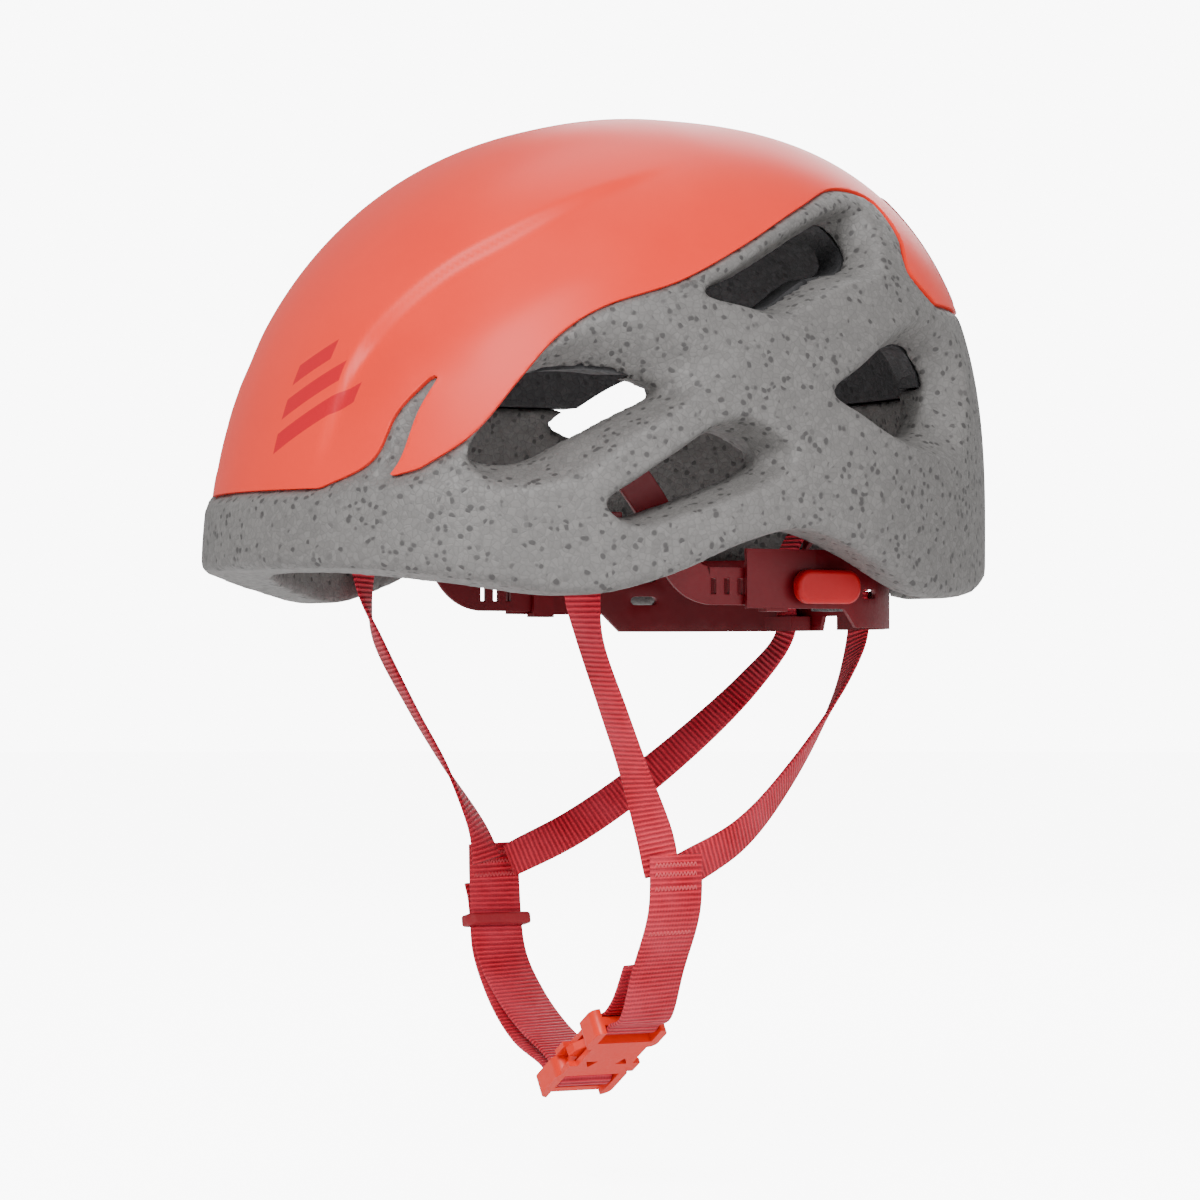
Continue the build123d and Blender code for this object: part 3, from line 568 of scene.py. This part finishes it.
LAMP_CLIP = moulded_material(
    "lamp_clip_crimson", (0.15, 0.001, 0.005, 1), (0.2, 0.002, 0.007, 1), 0.36, 0.5
)
PAD_KNIT = pad_material()
FLOOR_PAPER = paper_material()


# ---------------------------------------------------------------- meshes


def new_piece(name, points, faces, material):
    """Object made from points in metres."""
    mesh = bpy.data.meshes.new(name)
    mesh.from_pydata([tuple(p) for p in points], [], faces)
    mesh.validate()
    mesh.polygons.foreach_set("use_smooth", [True] * len(mesh.polygons))
    piece = bpy.data.objects.new(name, mesh)
    bpy.context.scene.collection.objects.link(piece)
    piece.data.materials.append(material)
    return piece


def skin(field, low, step):
    """Points and four-sided faces over the zero level of a field on a grid."""
    inside = field < 0
    size = np.array(field.shape) - 1
    corners = [(i, j, k) for i in (0, 1) for j in (0, 1) for k in (0, 1)]

    def part(values, corner):
        """Values of the grid at one corner of every cell."""
        return values[tuple(slice(c, c + n) for c, n in zip(corner, size))]

    count = sum(part(inside, c).astype(np.int8) for c in corners)
    active = (count > 0) & (count < 8)
    number = np.full(tuple(size), -1, np.int64)
    number[active] = np.arange(active.sum())
    cells = np.argwhere(active).astype(float)
    place = np.zeros_like(cells)
    crossings = np.zeros(len(cells))
    for a in corners:
        for axis in range(3):
            if a[axis]:
                continue
            b = tuple(1 if n == axis else a[n] for n in range(3))
            start, end = part(field, a)[active], part(field, b)[active]
            crosses = (start < 0) != (end < 0)
            share = np.where(crosses, start / np.where(crosses, start - end, 1), 0)
            point = cells + np.array(a)
            point[:, axis] += share
            place += point * crosses[:, None]
            crossings += crosses
    place /= crossings[:, None]
    faces = []
    for axis in range(3):
        u, v = (axis + 1) % 3, (axis + 2) % 3
        ahead = np.roll(inside, -1, axis)
        changes = inside != ahead
        index = np.argwhere(changes)
        keep = (index[:, axis] < size[axis]) & (index[:, u] > 0) & (index[:, v] > 0)
        keep &= (index[:, u] < size[u]) & (index[:, v] < size[v])
        index = index[keep]
        ring = []
        for du, dv in ((-1, -1), (0, -1), (0, 0), (-1, 0)):
            cell = index.copy()
            cell[:, u] += du
            cell[:, v] += dv
            ring.append(number[cell[:, 0], cell[:, 1], cell[:, 2]])
        quads = np.stack(ring, 1)
        outward = inside[index[:, 0], index[:, 1], index[:, 2]]
        faces.append(np.where(outward[:, None], quads, quads[:, ::-1]))
    faces = np.vstack(faces)
    return np.array(low) + place * step, faces


def relax(points, faces, rounds, strength=0.5):
    """Points eased towards their neighbours, to take out the grid's steps."""
    ends = np.vstack([faces[:, [i, (i + 1) % 4]] for i in range(4)])
    ends = np.vstack([ends, ends[:, ::-1]])
    degree = np.bincount(ends[:, 0], minlength=len(points)).astype(float)
    for _ in range(rounds):
        mean = np.stack(
            [np.bincount(ends[:, 0], points[ends[:, 1], n], len(points)) for n in range(3)], 1
        )
        points = points + (mean / degree[:, None] - points) * strength
    return points


def liner_body():
    """Foam body: dome wall with sloped vents, chamfered rim and a bed for the shell."""
    step = FOAM_GRID
    xs = (np.arange(int(118 / step)) + 0.5) * step
    ys = np.arange(-142, 140, step)
    zs = np.arange(-16, 158, step)
    x, y, z = np.meshgrid(xs, ys, zs, indexing="ij")
    side_y, side_z = np.meshgrid(ys, zs, indexing="ij")

    def depth_of(growth):
        """Distance from the dome grown by an amount, below zero inside it."""
        value = dome_measure(x, y, z, growth) ** 0.45
        slope = np.sqrt(sum(g**2 for g in np.gradient(value, step)))
        return (value - 1) / np.maximum(slope, 1e-4)

    outer = depth_of(0.0)
    zone = inset_from(shell_line, side_y, side_z)[None]
    above_rim = inset_from(below_rim, side_y, side_z)[None]
    proud = BROW_LIP * ease(-70, -112, y) * ease(0.5, 4, zone) * (1 - ease(23, 27, z))
    edge_dip = 0.9 * (1 - ease(0.5, 4, zone)) + 0.8 * (1 - ease(1, 3, zone)) * ease(24, 30, z)
    edge_dip = edge_dip * (y < -60) + 0.4 * (1 - ease(0.5, 4, zone)) * (y >= -60)
    skin_level = outer - proud + edge_dip + 0.6 * np.maximum(0, RIM_CHAMFER - above_rim)
    bed = outer + SHELL_WALL + SHELL_GAP + BED_DEPTH * ease(1, 9, -zone)
    body = np.minimum(bed, np.maximum(skin_level, 0.8 - zone))
    body = np.maximum(body, -depth_of(-LINER_WALL))
    bay = np.maximum(depth_of(-CROWN_LINER_SEAM), CROWN_LINER_EDGE - z)
    body = np.maximum(body, -bay)
    for recess, hole in vents:
        share = np.clip(-outer / VENT_SLOPE_DEPTH, 0, 1) ** 0.8
        mouth = inset_from(recess, side_y, side_z)[None]
        throat = inset_from(hole, side_y, side_z)[None]
        vent = np.maximum(mouth * (1 - share) + throat * share, VENT_REACH - x)
        body = cut_away(body, vent, VENT_EDGE)
    window = np.maximum(window_inset(x, y, z), -outer - SHELL_WALL - 5)
    body = np.maximum(body, -window)
    (bay_y, bay_z), (half_y, half_z) = FINGER_BAY_MIDDLE, FINGER_BAY_HALF
    inner, outer_side = FINGER_BAY_SIDES
    finger_bay = np.maximum(np.abs(y - bay_y) - half_y, np.abs(z - bay_z) - half_z)
    finger_bay = np.maximum(finger_bay, np.maximum(inner - x, x - outer_side))
    body = cut_away(body, finger_bay, FINGER_BAY_EDGE)
    body = cut_away(body, above_rim, RIM_EDGE)
    whole = np.concatenate([body[::-1], body], 0)
    points, faces = skin(whole, (-xs[-1], ys[0], zs[0]), step)
    points = relax(points, faces, 1, 0.25)
    return new_piece("foam_body", points * MM, faces.tolist(), LINER_FOAM)


def band_crease(points, normals):
    """How far the shell sinks beside its raised centre band."""
    line = curve_through(BAND_CREASE, pieces=5)
    p = np.abs(points * [1, 0, 0]) + points * [0, 1, 1]
    n = np.abs(normals * [1, 0, 0]) + normals * [0, 1, 1]
    near = np.full(len(p), 1e9)
    side = np.zeros(len(p))
    fade = np.zeros(len(p))
    for i, (a, b) in enumerate(zip(line[:-1], line[1:])):
        edge = b - a
        t = np.clip((p - a) @ edge / (edge @ edge), 0, 1)
        gap = p - a - t[:, None] * edge
        far = np.linalg.norm(gap, axis=1)
        out = np.cross(np.broadcast_to(edge, n.shape), n)
        out /= np.linalg.norm(out, axis=1)[:, None] + 1e-9
        closer = far < near
        near = np.where(closer, far, near)
        side = np.where(closer, (gap * out).sum(1), side)
        fade = np.where(closer, 1 - ease(0.62, 1, (i + t) / (len(line) - 1)), fade)
    scoop = ease(-0.6, 4.2, side) * (1 - ease(8, 36, side)) * (near < 60)
    return CREASE_DEPTH * scoop * fade


def shell_surface():
    """Hard crown shell, trimmed to its outline, with the tail windows cut out."""
    around, rising = SHELL_AROUND, SHELL_RISING
    bearing = np.linspace(0, math.tau, around, endpoint=False)
    climb = np.radians(np.linspace(7, 89.6, rising))
    b, c = np.meshgrid(bearing, climb, indexing="ij")
    heading = np.stack([np.sin(b) * np.cos(c), np.cos(b) * np.cos(c), np.sin(c)], -1)
    heading = heading.reshape(-1, 3)
    start = np.array([0, DOME_CENTRE_Y, WIDEST_LEVEL])
    near, far = np.zeros(len(heading)), np.full(len(heading), 250.0)
    for _ in range(34):
        middle = (near + far) / 2
        p = start + heading * middle[:, None]
        inside = dome_measure(p[:, 0], p[:, 1], p[:, 2]) < 1
        near, far = np.where(inside, middle, near), np.where(inside, far, middle)
    points = start + heading * near[:, None]
    top = len(points)
    points = np.vstack([points, [0, DOME_CENTRE_Y, WIDEST_LEVEL + DOME_HEIGHT]])
    trim = inset_from(shell_line, points[:, 1], points[:, 2])
    trim = np.maximum(trim, -window_inset(points[:, 0], points[:, 1], points[:, 2]))

    nudge = 0.05
    base = dome_measure(*points.T)
    normals = np.stack(
        [dome_measure(*(points + nudge * np.eye(3)[n]).T) - base for n in range(3)], 1
    )
    normals /= np.linalg.norm(normals, axis=1)[:, None] + 1e-12
    sunk = band_crease(points, normals) * ease(3, 16, -trim)
    points = points - normals * sunk[:, None]
    side = np.stack([np.abs(points[:, 0]), points[:, 1], points[:, 2]], 1)
    dimple = np.exp(-(((side[:, 1] + 101) / 10) ** 2 + ((side[:, 2] - 66) / 7) ** 2))
    points -= normals * (DIMPLE_DEPTH * dimple * (trim < 0))[:, None]

    points = list(points)
    cut_edges = {}

    def trimmed(face):
        """Part of a face inside the outline."""
        kept = []
        for a, z in zip(face, face[1:] + face[:1]):
            if trim[a] < 0:
                kept.append(a)
            if (trim[a] < 0) != (trim[z] < 0):
                key = (min(a, z), max(a, z))
                if key not in cut_edges:
                    share = trim[key[0]] / (trim[key[0]] - trim[key[1]])
                    share = min(max(share, 0.03), 0.97)
                    cut_edges[key] = len(points)
                    points.append(points[key[0]] * (1 - share) + points[key[1]] * share)
                kept.append(cut_edges[key])
        return kept

    faces = []
    for i in range(around):
        j = (i + 1) % around
        for k in range(rising - 1):
            face = [i * rising + k, i * rising + k + 1, j * rising + k + 1, j * rising + k]
            levels = trim[face]
            if (levels < 0).all():
                faces.append(face)
            elif (levels < 0).any():
                kept = trimmed(face)
                if len(kept) > 2:
                    faces.append(kept)
        faces.append([i * rising + rising - 1, top, j * rising + rising - 1])
    used = sorted(set(v for face in faces for v in face))
    renumber = {v: n for n, v in enumerate(used)}
    faces = [[renumber[v] for v in face] for face in faces]
    piece = new_piece("shell_crown", np.array([points[v] for v in used]) * MM, faces, SHELL_SATIN)
    wall = piece.modifiers.new("wall", "SOLIDIFY")
    wall.thickness = SHELL_WALL * MM
    wall.offset = -1
    edge = piece.modifiers.new("edge", "BEVEL")
    edge.width = 0.0005
    edge.segments = 2
    edge.limit_method = "ANGLE"
    edge.angle_limit = math.radians(55)
    return piece


def strap_frames(stations):
    """Middle line, sideways and outward directions of a strap, every 1.5 mm or so."""
    centres = np.array([c for c, _ in stations], float)
    widths = np.array([a for _, a in stations], float)
    line = curve_through(np.hstack([centres, widths * 10]), pieces=24)
    middle, sideways = line[:, :3], line[:, 3:]
    travelled = np.concatenate([[0], np.cumsum(np.linalg.norm(np.diff(middle, axis=0), axis=1))])
    steps = np.linspace(0, travelled[-1], max(int(travelled[-1] / 1.5), 8))
    middle = np.stack([np.interp(steps, travelled, middle[:, n]) for n in range(3)], 1)
    sideways = np.stack([np.interp(steps, travelled, sideways[:, n]) for n in range(3)], 1)
    heading = np.gradient(middle, axis=0)
    heading /= np.linalg.norm(heading, axis=1)[:, None]
    sideways -= heading * (sideways * heading).sum(1)[:, None]
    sideways /= np.linalg.norm(sideways, axis=1)[:, None]
    return middle, sideways, np.cross(sideways, heading), steps


def strap(name, stations, width, body=None):
    """Flat webbing with rounded selvages, its own length and width as its UV map."""
    middle, sideways, outward, steps = strap_frames(stations)
    half, thick = width / 2, WEB_WALL / 2
    section = []
    for angle in (90, 45, 0, -45, -90):
        turn = math.radians(angle)
        section.append((half - thick + thick * math.cos(turn), thick * math.sin(turn)))
    for angle in (-90, -135, 180, 135, 90):
        turn = math.radians(angle)
        section.append((-half + thick + thick * math.cos(turn), thick * math.sin(turn)))
    section.insert(5, (0, -thick))
    section.append((0, thick))
    count = len(section)
    points = np.vstack([
        middle[i] + sideways[i] * u + outward[i] * v
        for i in range(len(middle)) for u, v in section
    ])
    faces = [
        [i * count + k, i * count + (k + 1) % count, (i + 1) * count + (k + 1) % count,
         (i + 1) * count + k]
        for i in range(len(middle) - 1) for k in range(count)
    ]
    last = (len(middle) - 1) * count
    faces += [list(range(count))[::-1], [last + k for k in range(count)]]
    piece = new_piece(name, points * MM, faces, WEBBING)
    layer = piece.data.uv_layers.new(name="web")
    for loop in piece.data.loops:
        row, k = divmod(loop.vertex_index, count)
        layer.data[loop.index].uv = (steps[row] * MM, section[k][0] * MM)
    repair = bmesh.new()
    repair.from_mesh(piece.data)
    bmesh.ops.recalc_face_normals(repair, faces=repair.faces)
    repair.to_mesh(piece.data)
    repair.free()
    if body:
        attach(piece, body)
    return piece


def stitches(name, stations, rows, width, body="helmet"):
    """Raised zigzag thread across both faces of a strap, at places along it."""
    middle, sideways, outward, steps = strap_frames(stations)
    points, faces = [], []

    def thread(a, b, up):
        """One stitch, a small rounded bar that dips into the strap at its ends."""
        run = (b - a) / np.linalg.norm(b - a)
        beside = np.cross(run, up)
        first = len(points)
        for share, lift, size in (
            (0, -0.1, 0.16), (0.25, 0.12, 0.26), (0.75, 0.12, 0.26), (1, -0.1, 0.16)
        ):
            at = a + (b - a) * share + up * lift
            for k in range(THREAD_SIDES):
                turn = math.tau * k / THREAD_SIDES
                points.append(at + beside * size * math.cos(turn) + up * size * math.sin(turn))
        for ring in range(3):
            near = first + ring * THREAD_SIDES
            far = near + THREAD_SIDES
            for k in range(THREAD_SIDES):
                after = (k + 1) % THREAD_SIDES
                faces.append([near + k, near + after, far + after, far + k])
        faces.append([first + k for k in range(THREAD_SIDES)][::-1])
        faces.append([first + 3 * THREAD_SIDES + k for k in range(THREAD_SIDES)])

    for along in rows:
        i = min(int(np.searchsorted(steps, along)), len(middle) - 2)
        heading = np.cross(outward[i], sideways[i])
        for face in (-1, 1):
            up = outward[i] * face
            base = middle[i] + up * WEB_WALL / 2
            count = int((width - 3) / STITCH_PITCH)
            for k in range(count):
                u = -width / 2 + 1.5 + k * STITCH_PITCH
                a = base + sideways[i] * u + heading * STITCH_REACH
                b = base + sideways[i] * (u + STITCH_PITCH / 2) - heading * STITCH_REACH
                c = base + sideways[i] * (u + STITCH_PITCH) + heading * STITCH_REACH
                thread(a, b, up)
                thread(b, c, up)
    piece = new_piece(name, np.array(points) * MM, faces, THREAD)
    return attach(piece, body)


def padded_from(node, name, body, puff):
    """Soft pad swollen inside the space that its solid holds."""
    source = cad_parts[node]
    piece = bpy.data.objects.new(name, source.data.copy())
    bpy.context.scene.collection.objects.link(piece)
    piece.data.materials.clear()
    piece.data.materials.append(PAD_KNIT)
    bpy.context.view_layer.objects.active = piece
    weld = piece.modifiers.new("weld", "WELD")
    weld.merge_threshold = 1e-6
    shape = piece.modifiers.new("shape", "REMESH")
    shape.mode = "VOXEL"
    shape.voxel_size = 0.0018
    apply_modifiers(piece)
    rest = mesh_points(piece)
    normals = np.zeros(len(rest) * 3)
    piece.data.vertices.foreach_get("normal", normals)
    rest = rest - normals.reshape(-1, 3) * puff * MM * 0.8
    piece.data.vertices.foreach_set("co", rest.ravel())
    piece.data.update()
    cloth = piece.modifiers.new("cloth", "CLOTH")
    cloth.settings.use_pressure = True
    cloth.settings.uniform_pressure_force = 4
    cloth.settings.effector_weights.gravity = 0
    cloth.settings.quality = 5
    cloth.point_cache.frame_end = 20
    for number in range(1, 15):
        bpy.context.scene.frame_set(number)
    apply_modifiers(piece)
    bpy.context.scene.frame_set(1)
    moved = mesh_points(piece) - rest
    far = np.linalg.norm(moved, axis=1)
    moved *= np.minimum(1, puff * MM / np.maximum(far, 1e-9))[:, None]
    piece.data.vertices.foreach_set("co", (rest + moved).ravel())
    piece.data.update()
    piece.data.polygons.foreach_set("use_smooth", [True] * len(piece.data.polygons))
    soften = piece.modifiers.new("soften", "SMOOTH")
    soften.iterations = 3
    apply_modifiers(piece)
    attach(piece, body)
    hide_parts(node)
    return piece


def mesh_points(piece):
    """Points of a piece's mesh, one row each."""
    points = np.zeros(len(piece.data.vertices) * 3)
    piece.data.vertices.foreach_get("co", points)
    return points.reshape(-1, 3)


def apply_modifiers(piece):
    """Puts what the modifiers make into the mesh itself."""
    bpy.context.view_layer.update()
    seen = piece.evaluated_get(bpy.context.evaluated_depsgraph_get())
    made = bpy.data.meshes.new_from_object(seen)
    piece.modifiers.clear()
    piece.data = made


def hanger_link(side):
    """V link copied from its solid and finely subdivided, not attached to any body."""
    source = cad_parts[f"{side}_hanger"]
    piece = bpy.data.objects.new(f"{side}_hanger_link", source.data.copy())
    bpy.context.scene.collection.objects.link(piece)
    piece.data.materials.clear()
    piece.data.materials.append(ADJUSTER)
    weld = piece.modifiers.new("weld", "WELD")
    weld.merge_threshold = 1e-6
    split = piece.modifiers.new("split", "SUBSURF")
    split.subdivision_type = "SIMPLE"
    split.levels = split.render_levels = 3
    apply_modifiers(piece)
    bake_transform(piece)
    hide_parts(f"{side}_hanger")
    return piece


def dress(node, material, edge=0.0):
    """Finish, and softened edges, for a carried-over solid."""
    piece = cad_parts[node]
    piece.data.materials.clear()
    piece.data.materials.append(material)
    if edge:
        weld = piece.modifiers.new("weld", "WELD")
        weld.merge_threshold = 1e-6
        soft = piece.modifiers.new("edge", "BEVEL")
        soft.width = edge * MM
        soft.segments = 3
        soft.limit_method = "ANGLE"
        soft.angle_limit = math.radians(38)
    return piece


# ---------------------------------------------------------------- camera, floor and light


def studio():
    """Camera, pale floor and soft light."""
    azimuth, elevation = math.radians(CAMERA_AZIMUTH), math.radians(CAMERA_ELEVATION)
    back = Vector((
        math.sin(azimuth) * math.cos(elevation),
        -math.cos(azimuth) * math.cos(elevation),
        math.sin(elevation),
    ))
    right = Vector((math.cos(azimuth), math.sin(azimuth), 0))
    lens = bpy.data.cameras.new("camera")
    lens.lens = CAMERA_LENS
    lens.sensor_width = 36
    lens.clip_end = 30
    camera = bpy.data.objects.new("camera", lens)
    bpy.context.scene.collection.objects.link(camera)
    camera.location = Vector((0, 0, AIM_LEVEL)) + back * CAMERA_DISTANCE
    camera.rotation_mode = "QUATERNION"
    camera.rotation_quaternion = (-back).to_track_quat("-Z", "Y")
    bpy.context.scene.camera = camera

    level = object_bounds()[0].z - FLOOR_DROP
    rings = [0.0, 0.5, 1.2, 2.5, 5.0, 9.0]
    points, faces = [(0, 0, level)], []
    for ring in rings[1:]:
        for k in range(FLOOR_SIDES):
            turn = math.tau * k / FLOOR_SIDES
            points.append((ring * math.cos(turn), ring * math.sin(turn), level))
    for k in range(FLOOR_SIDES):
        after = (k + 1) % FLOOR_SIDES
        faces.append([0, 1 + k, 1 + after])
        for ring in range(len(rings) - 2):
            near = 1 + ring * FLOOR_SIDES
            far = near + FLOOR_SIDES
            faces.append([near + k, far + k, far + after, near + after])
    new_piece("studio_floor", points, faces, FLOOR_PAPER)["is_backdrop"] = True

    def soft_light(name, place, size, power):
        """Round light that faces the helmet."""
        light = bpy.data.lights.new(name, "AREA")
        light.shape = "DISK"
        light.size = size
        light.energy = power
        lamp = bpy.data.objects.new(name, light)
        bpy.context.scene.collection.objects.link(lamp)
        lamp.location = place
        lamp.rotation_mode = "QUATERNION"
        lamp.rotation_quaternion = (Vector((0, 0, 0.03)) - place).to_track_quat("-Z", "Y")

    soft_light("key_light", back * 1.5 - right * 0.45 + Vector((0, 0, 1.2)), 1.0, 40)
    soft_light("fill_light", back * 1.4 + right * 1.3 + Vector((0, 0, 0.2)), 1.2, 11)
    soft_light("top_light", back * -0.5 + Vector((0, 0, 1.7)), 1.2, 9)
    soft_light("back_light", back * -1.6 + right * 0.4 + Vector((0, 0, 1.0)), 1.2, 14)
    world = bpy.data.worlds.new("studio")
    bpy.context.scene.world = world
    world.use_nodes = True
    sky = world.node_tree.nodes["Background"]
    sky.inputs["Color"].default_value = (1, 1, 1, 1)
    seen = add_node(world.node_tree, "ShaderNodeLightPath").outputs["Is Camera Ray"]
    world.node_tree.links.new(
        spread(world.node_tree, seen, 0.0, 1.0, 0.5, 9.0), sky.inputs["Strength"]
    )


studio()


# ---------------------------------------------------------------- foam and shell

foam_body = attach(liner_body(), "helmet")
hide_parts("outer_liner")
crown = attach(shell_surface(), "helmet")
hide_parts("crown_shell")
dress("crown_liner", CROWN_FOAM)


# ---------------------------------------------------------------- webbing

LEVEL = (0, 1, 0)
SLOPE = math.radians(32)
PULL = np.array([-math.cos(SLOPE), 0, -math.sin(SLOPE)])
FACE_OUT = np.array([math.sin(SLOPE), 0, -math.cos(SLOPE)])
CATCH = np.array([9.6, -4, -158])
JUNCTION = (61, -7, -92)
BAR_MIDDLE = -19.1
LOOP_OUT = 2.95
FIRST_SLOT, SECOND_SLOT, MIDDLE_BAR = 13.8, 21.4, 17.6


def on_buckle(along, out):
    """Point along the buckle's pull and out through its outer face."""
    return tuple(CATCH + PULL * along + FACE_OUT * out)


def over_bar(middle, out):
    """Stations over one face of a buckle bar."""
    corner = out - math.copysign(0.5, out)
    return [
        (on_buckle(middle - 2.3, corner), LEVEL), (on_buckle(middle, out), LEVEL),
        (on_buckle(middle + 2.3, corner), LEVEL),
    ]


KEEPER_ALONG = np.array([-0.2, 0, 0.98]) / math.hypot(0.2, 0.98)
KEEPER_OUT = np.array([-0.98, 0, -0.2]) / math.hypot(0.2, 0.98)
KEEPER_WEB = np.array([-59, -6.5, -118])


def beside_keeper(along, out):
    """Point on the right chin strap, from the middle of its keeper."""
    return tuple(KEEPER_WEB + KEEPER_ALONG * along + KEEPER_OUT * out)


def bowed(start, end, share, bow):
    """Point between two others, bowed down and outward."""
    line = np.array(end) - np.array(start)
    away = np.cross(line, [0, 1, 0])
    return tuple(np.array(start) + line * share + away / np.linalg.norm(away) * bow)


def mirrored(stations):
    """Stations for the wearer's right side."""
    return [((-c[0], c[1], c[2]), (-a[0], a[1], a[2])) for c, a in stations]


front_stations = [
    ((76.42, -50, 7.0), (0.2, 1, 0)), ((74.5, -49.5, -8), (0.7, 0.7, 0)),
    ((72.5, -46, -22), (0.98, 0.25, 0)), ((68.5, -34.5, -46), (0.98, 0.22, 0.1)),
    ((64, -24, -66), (0.95, 0.3, 0.2)), ((59.8, -14, -87), (0.6, 0.8, 0.3)),
    ((58.6, -11, -98), (0.15, 1, 0.3)),
]
rear_upper_stations = [
    ((23, 101.0, 28.5), (1, 0, 0)), ((23, 94, 17), (1, 0, 0)), ((23, 87.7, 6), (1, 0, 0)),
    ((23, 87.5, -6), (1, 0, 0)),
]
rear_lower_stations = [
    ((23, 87.5, -6), (1, 0, 0)), ((23, 87.5, -20), (1, 0, 0)),
    ((30, 77, -37), (0.9, -0.15, 0.3)), ((43, 49.5, -65), (0.65, -0.37, 0.67)),
    ((53.5, 22, -86), (0.4, -0.65, 0.62)), ((57.1, -3, -98), (0, -0.9, 0.5)),
]
left_chin_stations = [
    (JUNCTION, LEVEL), ((59, -6.5, -110), LEVEL), ((47, -5.5, -130), LEVEL),
    (on_buckle(-28.6, LOOP_OUT + 1.2), LEVEL), *over_bar(BAR_MIDDLE, LOOP_OUT),
    (on_buckle(-15.9, 0), LEVEL), *reversed(over_bar(BAR_MIDDLE, -LOOP_OUT)),
    (on_buckle(-28.6, -LOOP_OUT - 0.6), LEVEL), ((42, -5.5, -128), LEVEL),
]
chin_leaves = on_buckle(SECOND_SLOT + 0.6, -11)
tail_leaves = on_buckle(SECOND_SLOT + 3.6, -8)
chin_arrives = beside_keeper(-11, 0)
tail_arrives = beside_keeper(-11, 2.25)
right_chin_stations = [
    ((-61, -7, -92), LEVEL), (beside_keeper(11, 0), LEVEL), (chin_arrives, LEVEL),
    (bowed(chin_leaves, chin_arrives, 2 / 3, 4), LEVEL),
    (bowed(chin_leaves, chin_arrives, 1 / 3, 3.5), LEVEL), (chin_leaves, LEVEL),
    (on_buckle(MIDDLE_BAR + 0.9, -5.5), LEVEL), (on_buckle(FIRST_SLOT + 0.6, -2.6), LEVEL),
    (on_buckle(FIRST_SLOT, 0), LEVEL), *over_bar(MIDDLE_BAR, LOOP_OUT),
    (on_buckle(SECOND_SLOT - 0.4, 0.8), LEVEL),
]
tail_stations = [
    (on_buckle(SECOND_SLOT + 0.1, 0.1), LEVEL), (on_buckle(SECOND_SLOT + 1, -2.6), LEVEL),
    (tail_leaves, LEVEL), (bowed(tail_leaves, tail_arrives, 1 / 3, 6), LEVEL),
    (bowed(tail_leaves, tail_arrives, 2 / 3, 6), LEVEL), (tail_arrives, LEVEL),
    (beside_keeper(0, 2.15), LEVEL), (beside_keeper(8, 2.2), LEVEL),
    (beside_keeper(13, 3.6), LEVEL),
]

for side, turn in (("left", list), ("right", mirrored)):
    web = strap(f"{side}_front_web", turn(front_stations), NARROW_WEB, "helmet")
    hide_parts(f"{side}_front_strap")
    upper = strap(f"{side}_rear_web_upper", turn(rear_upper_stations), NARROW_WEB)
    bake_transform(upper)
    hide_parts(f"{side}_rear_strap")
    lower = strap(f"{side}_rear_web_lower", turn(rear_lower_stations), NARROW_WEB)
    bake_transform(lower)
left_chin = strap("left_chin_web", left_chin_stations, WIDE_WEB, "helmet")
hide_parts("left_chin_strap")
right_chin = strap("right_chin_web", right_chin_stations, WIDE_WEB)
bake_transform(right_chin)
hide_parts("right_chin_strap")
tail = strap("right_tail_web", tail_stations, WIDE_WEB)
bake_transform(tail)
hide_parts("right_strap_tail")
stitches("left_junction_stitching", left_chin_stations, (2.5, 6, 9.5, 25), WIDE_WEB)
stitches("right_junction_stitching", right_chin_stations, (2.5, 6, 9.5), WIDE_WEB)


# ---------------------------------------------------------------- pads and fittings

padded_from("brow_pad", "brow_cushion", "helmet", 0.9)
padded_from("left_crown_pad", "left_crown_cushion", "helmet", 0.9)
padded_from("right_crown_pad", "right_crown_cushion", "helmet", 0.9)
padded_from("nape_pad", "nape_cushion", "yoke", 0.5)

dress("nape_yoke", ADJUSTER, 0.35)
for side in ("left", "right"):
    dress(f"{side}_arm", ADJUSTER, 0.3)
    dress(f"{side}_temple_anchor", ADJUSTER, 0.4)
    hanger_link(side)
    dress(f"{side}_hanger_anchor", ADJUSTER, 0.5)
    dress(f"{side}_strap_anchor", ADJUSTER, 0.5)
    dress(f"{side}_fit_button", FINGER_PAD, 0.5)
    dress(f"{side}_lamp_clip", LAMP_CLIP, 0.3)
for node in ("buckle_female", "buckle_male"):
    dress(node, BUCKLE, 0.8)
for node in ("buckle_prong_front", "buckle_prong_rear"):
    dress(node, BUCKLE, 0.4)
dress("strap_keeper", KEEPER, 0.95)
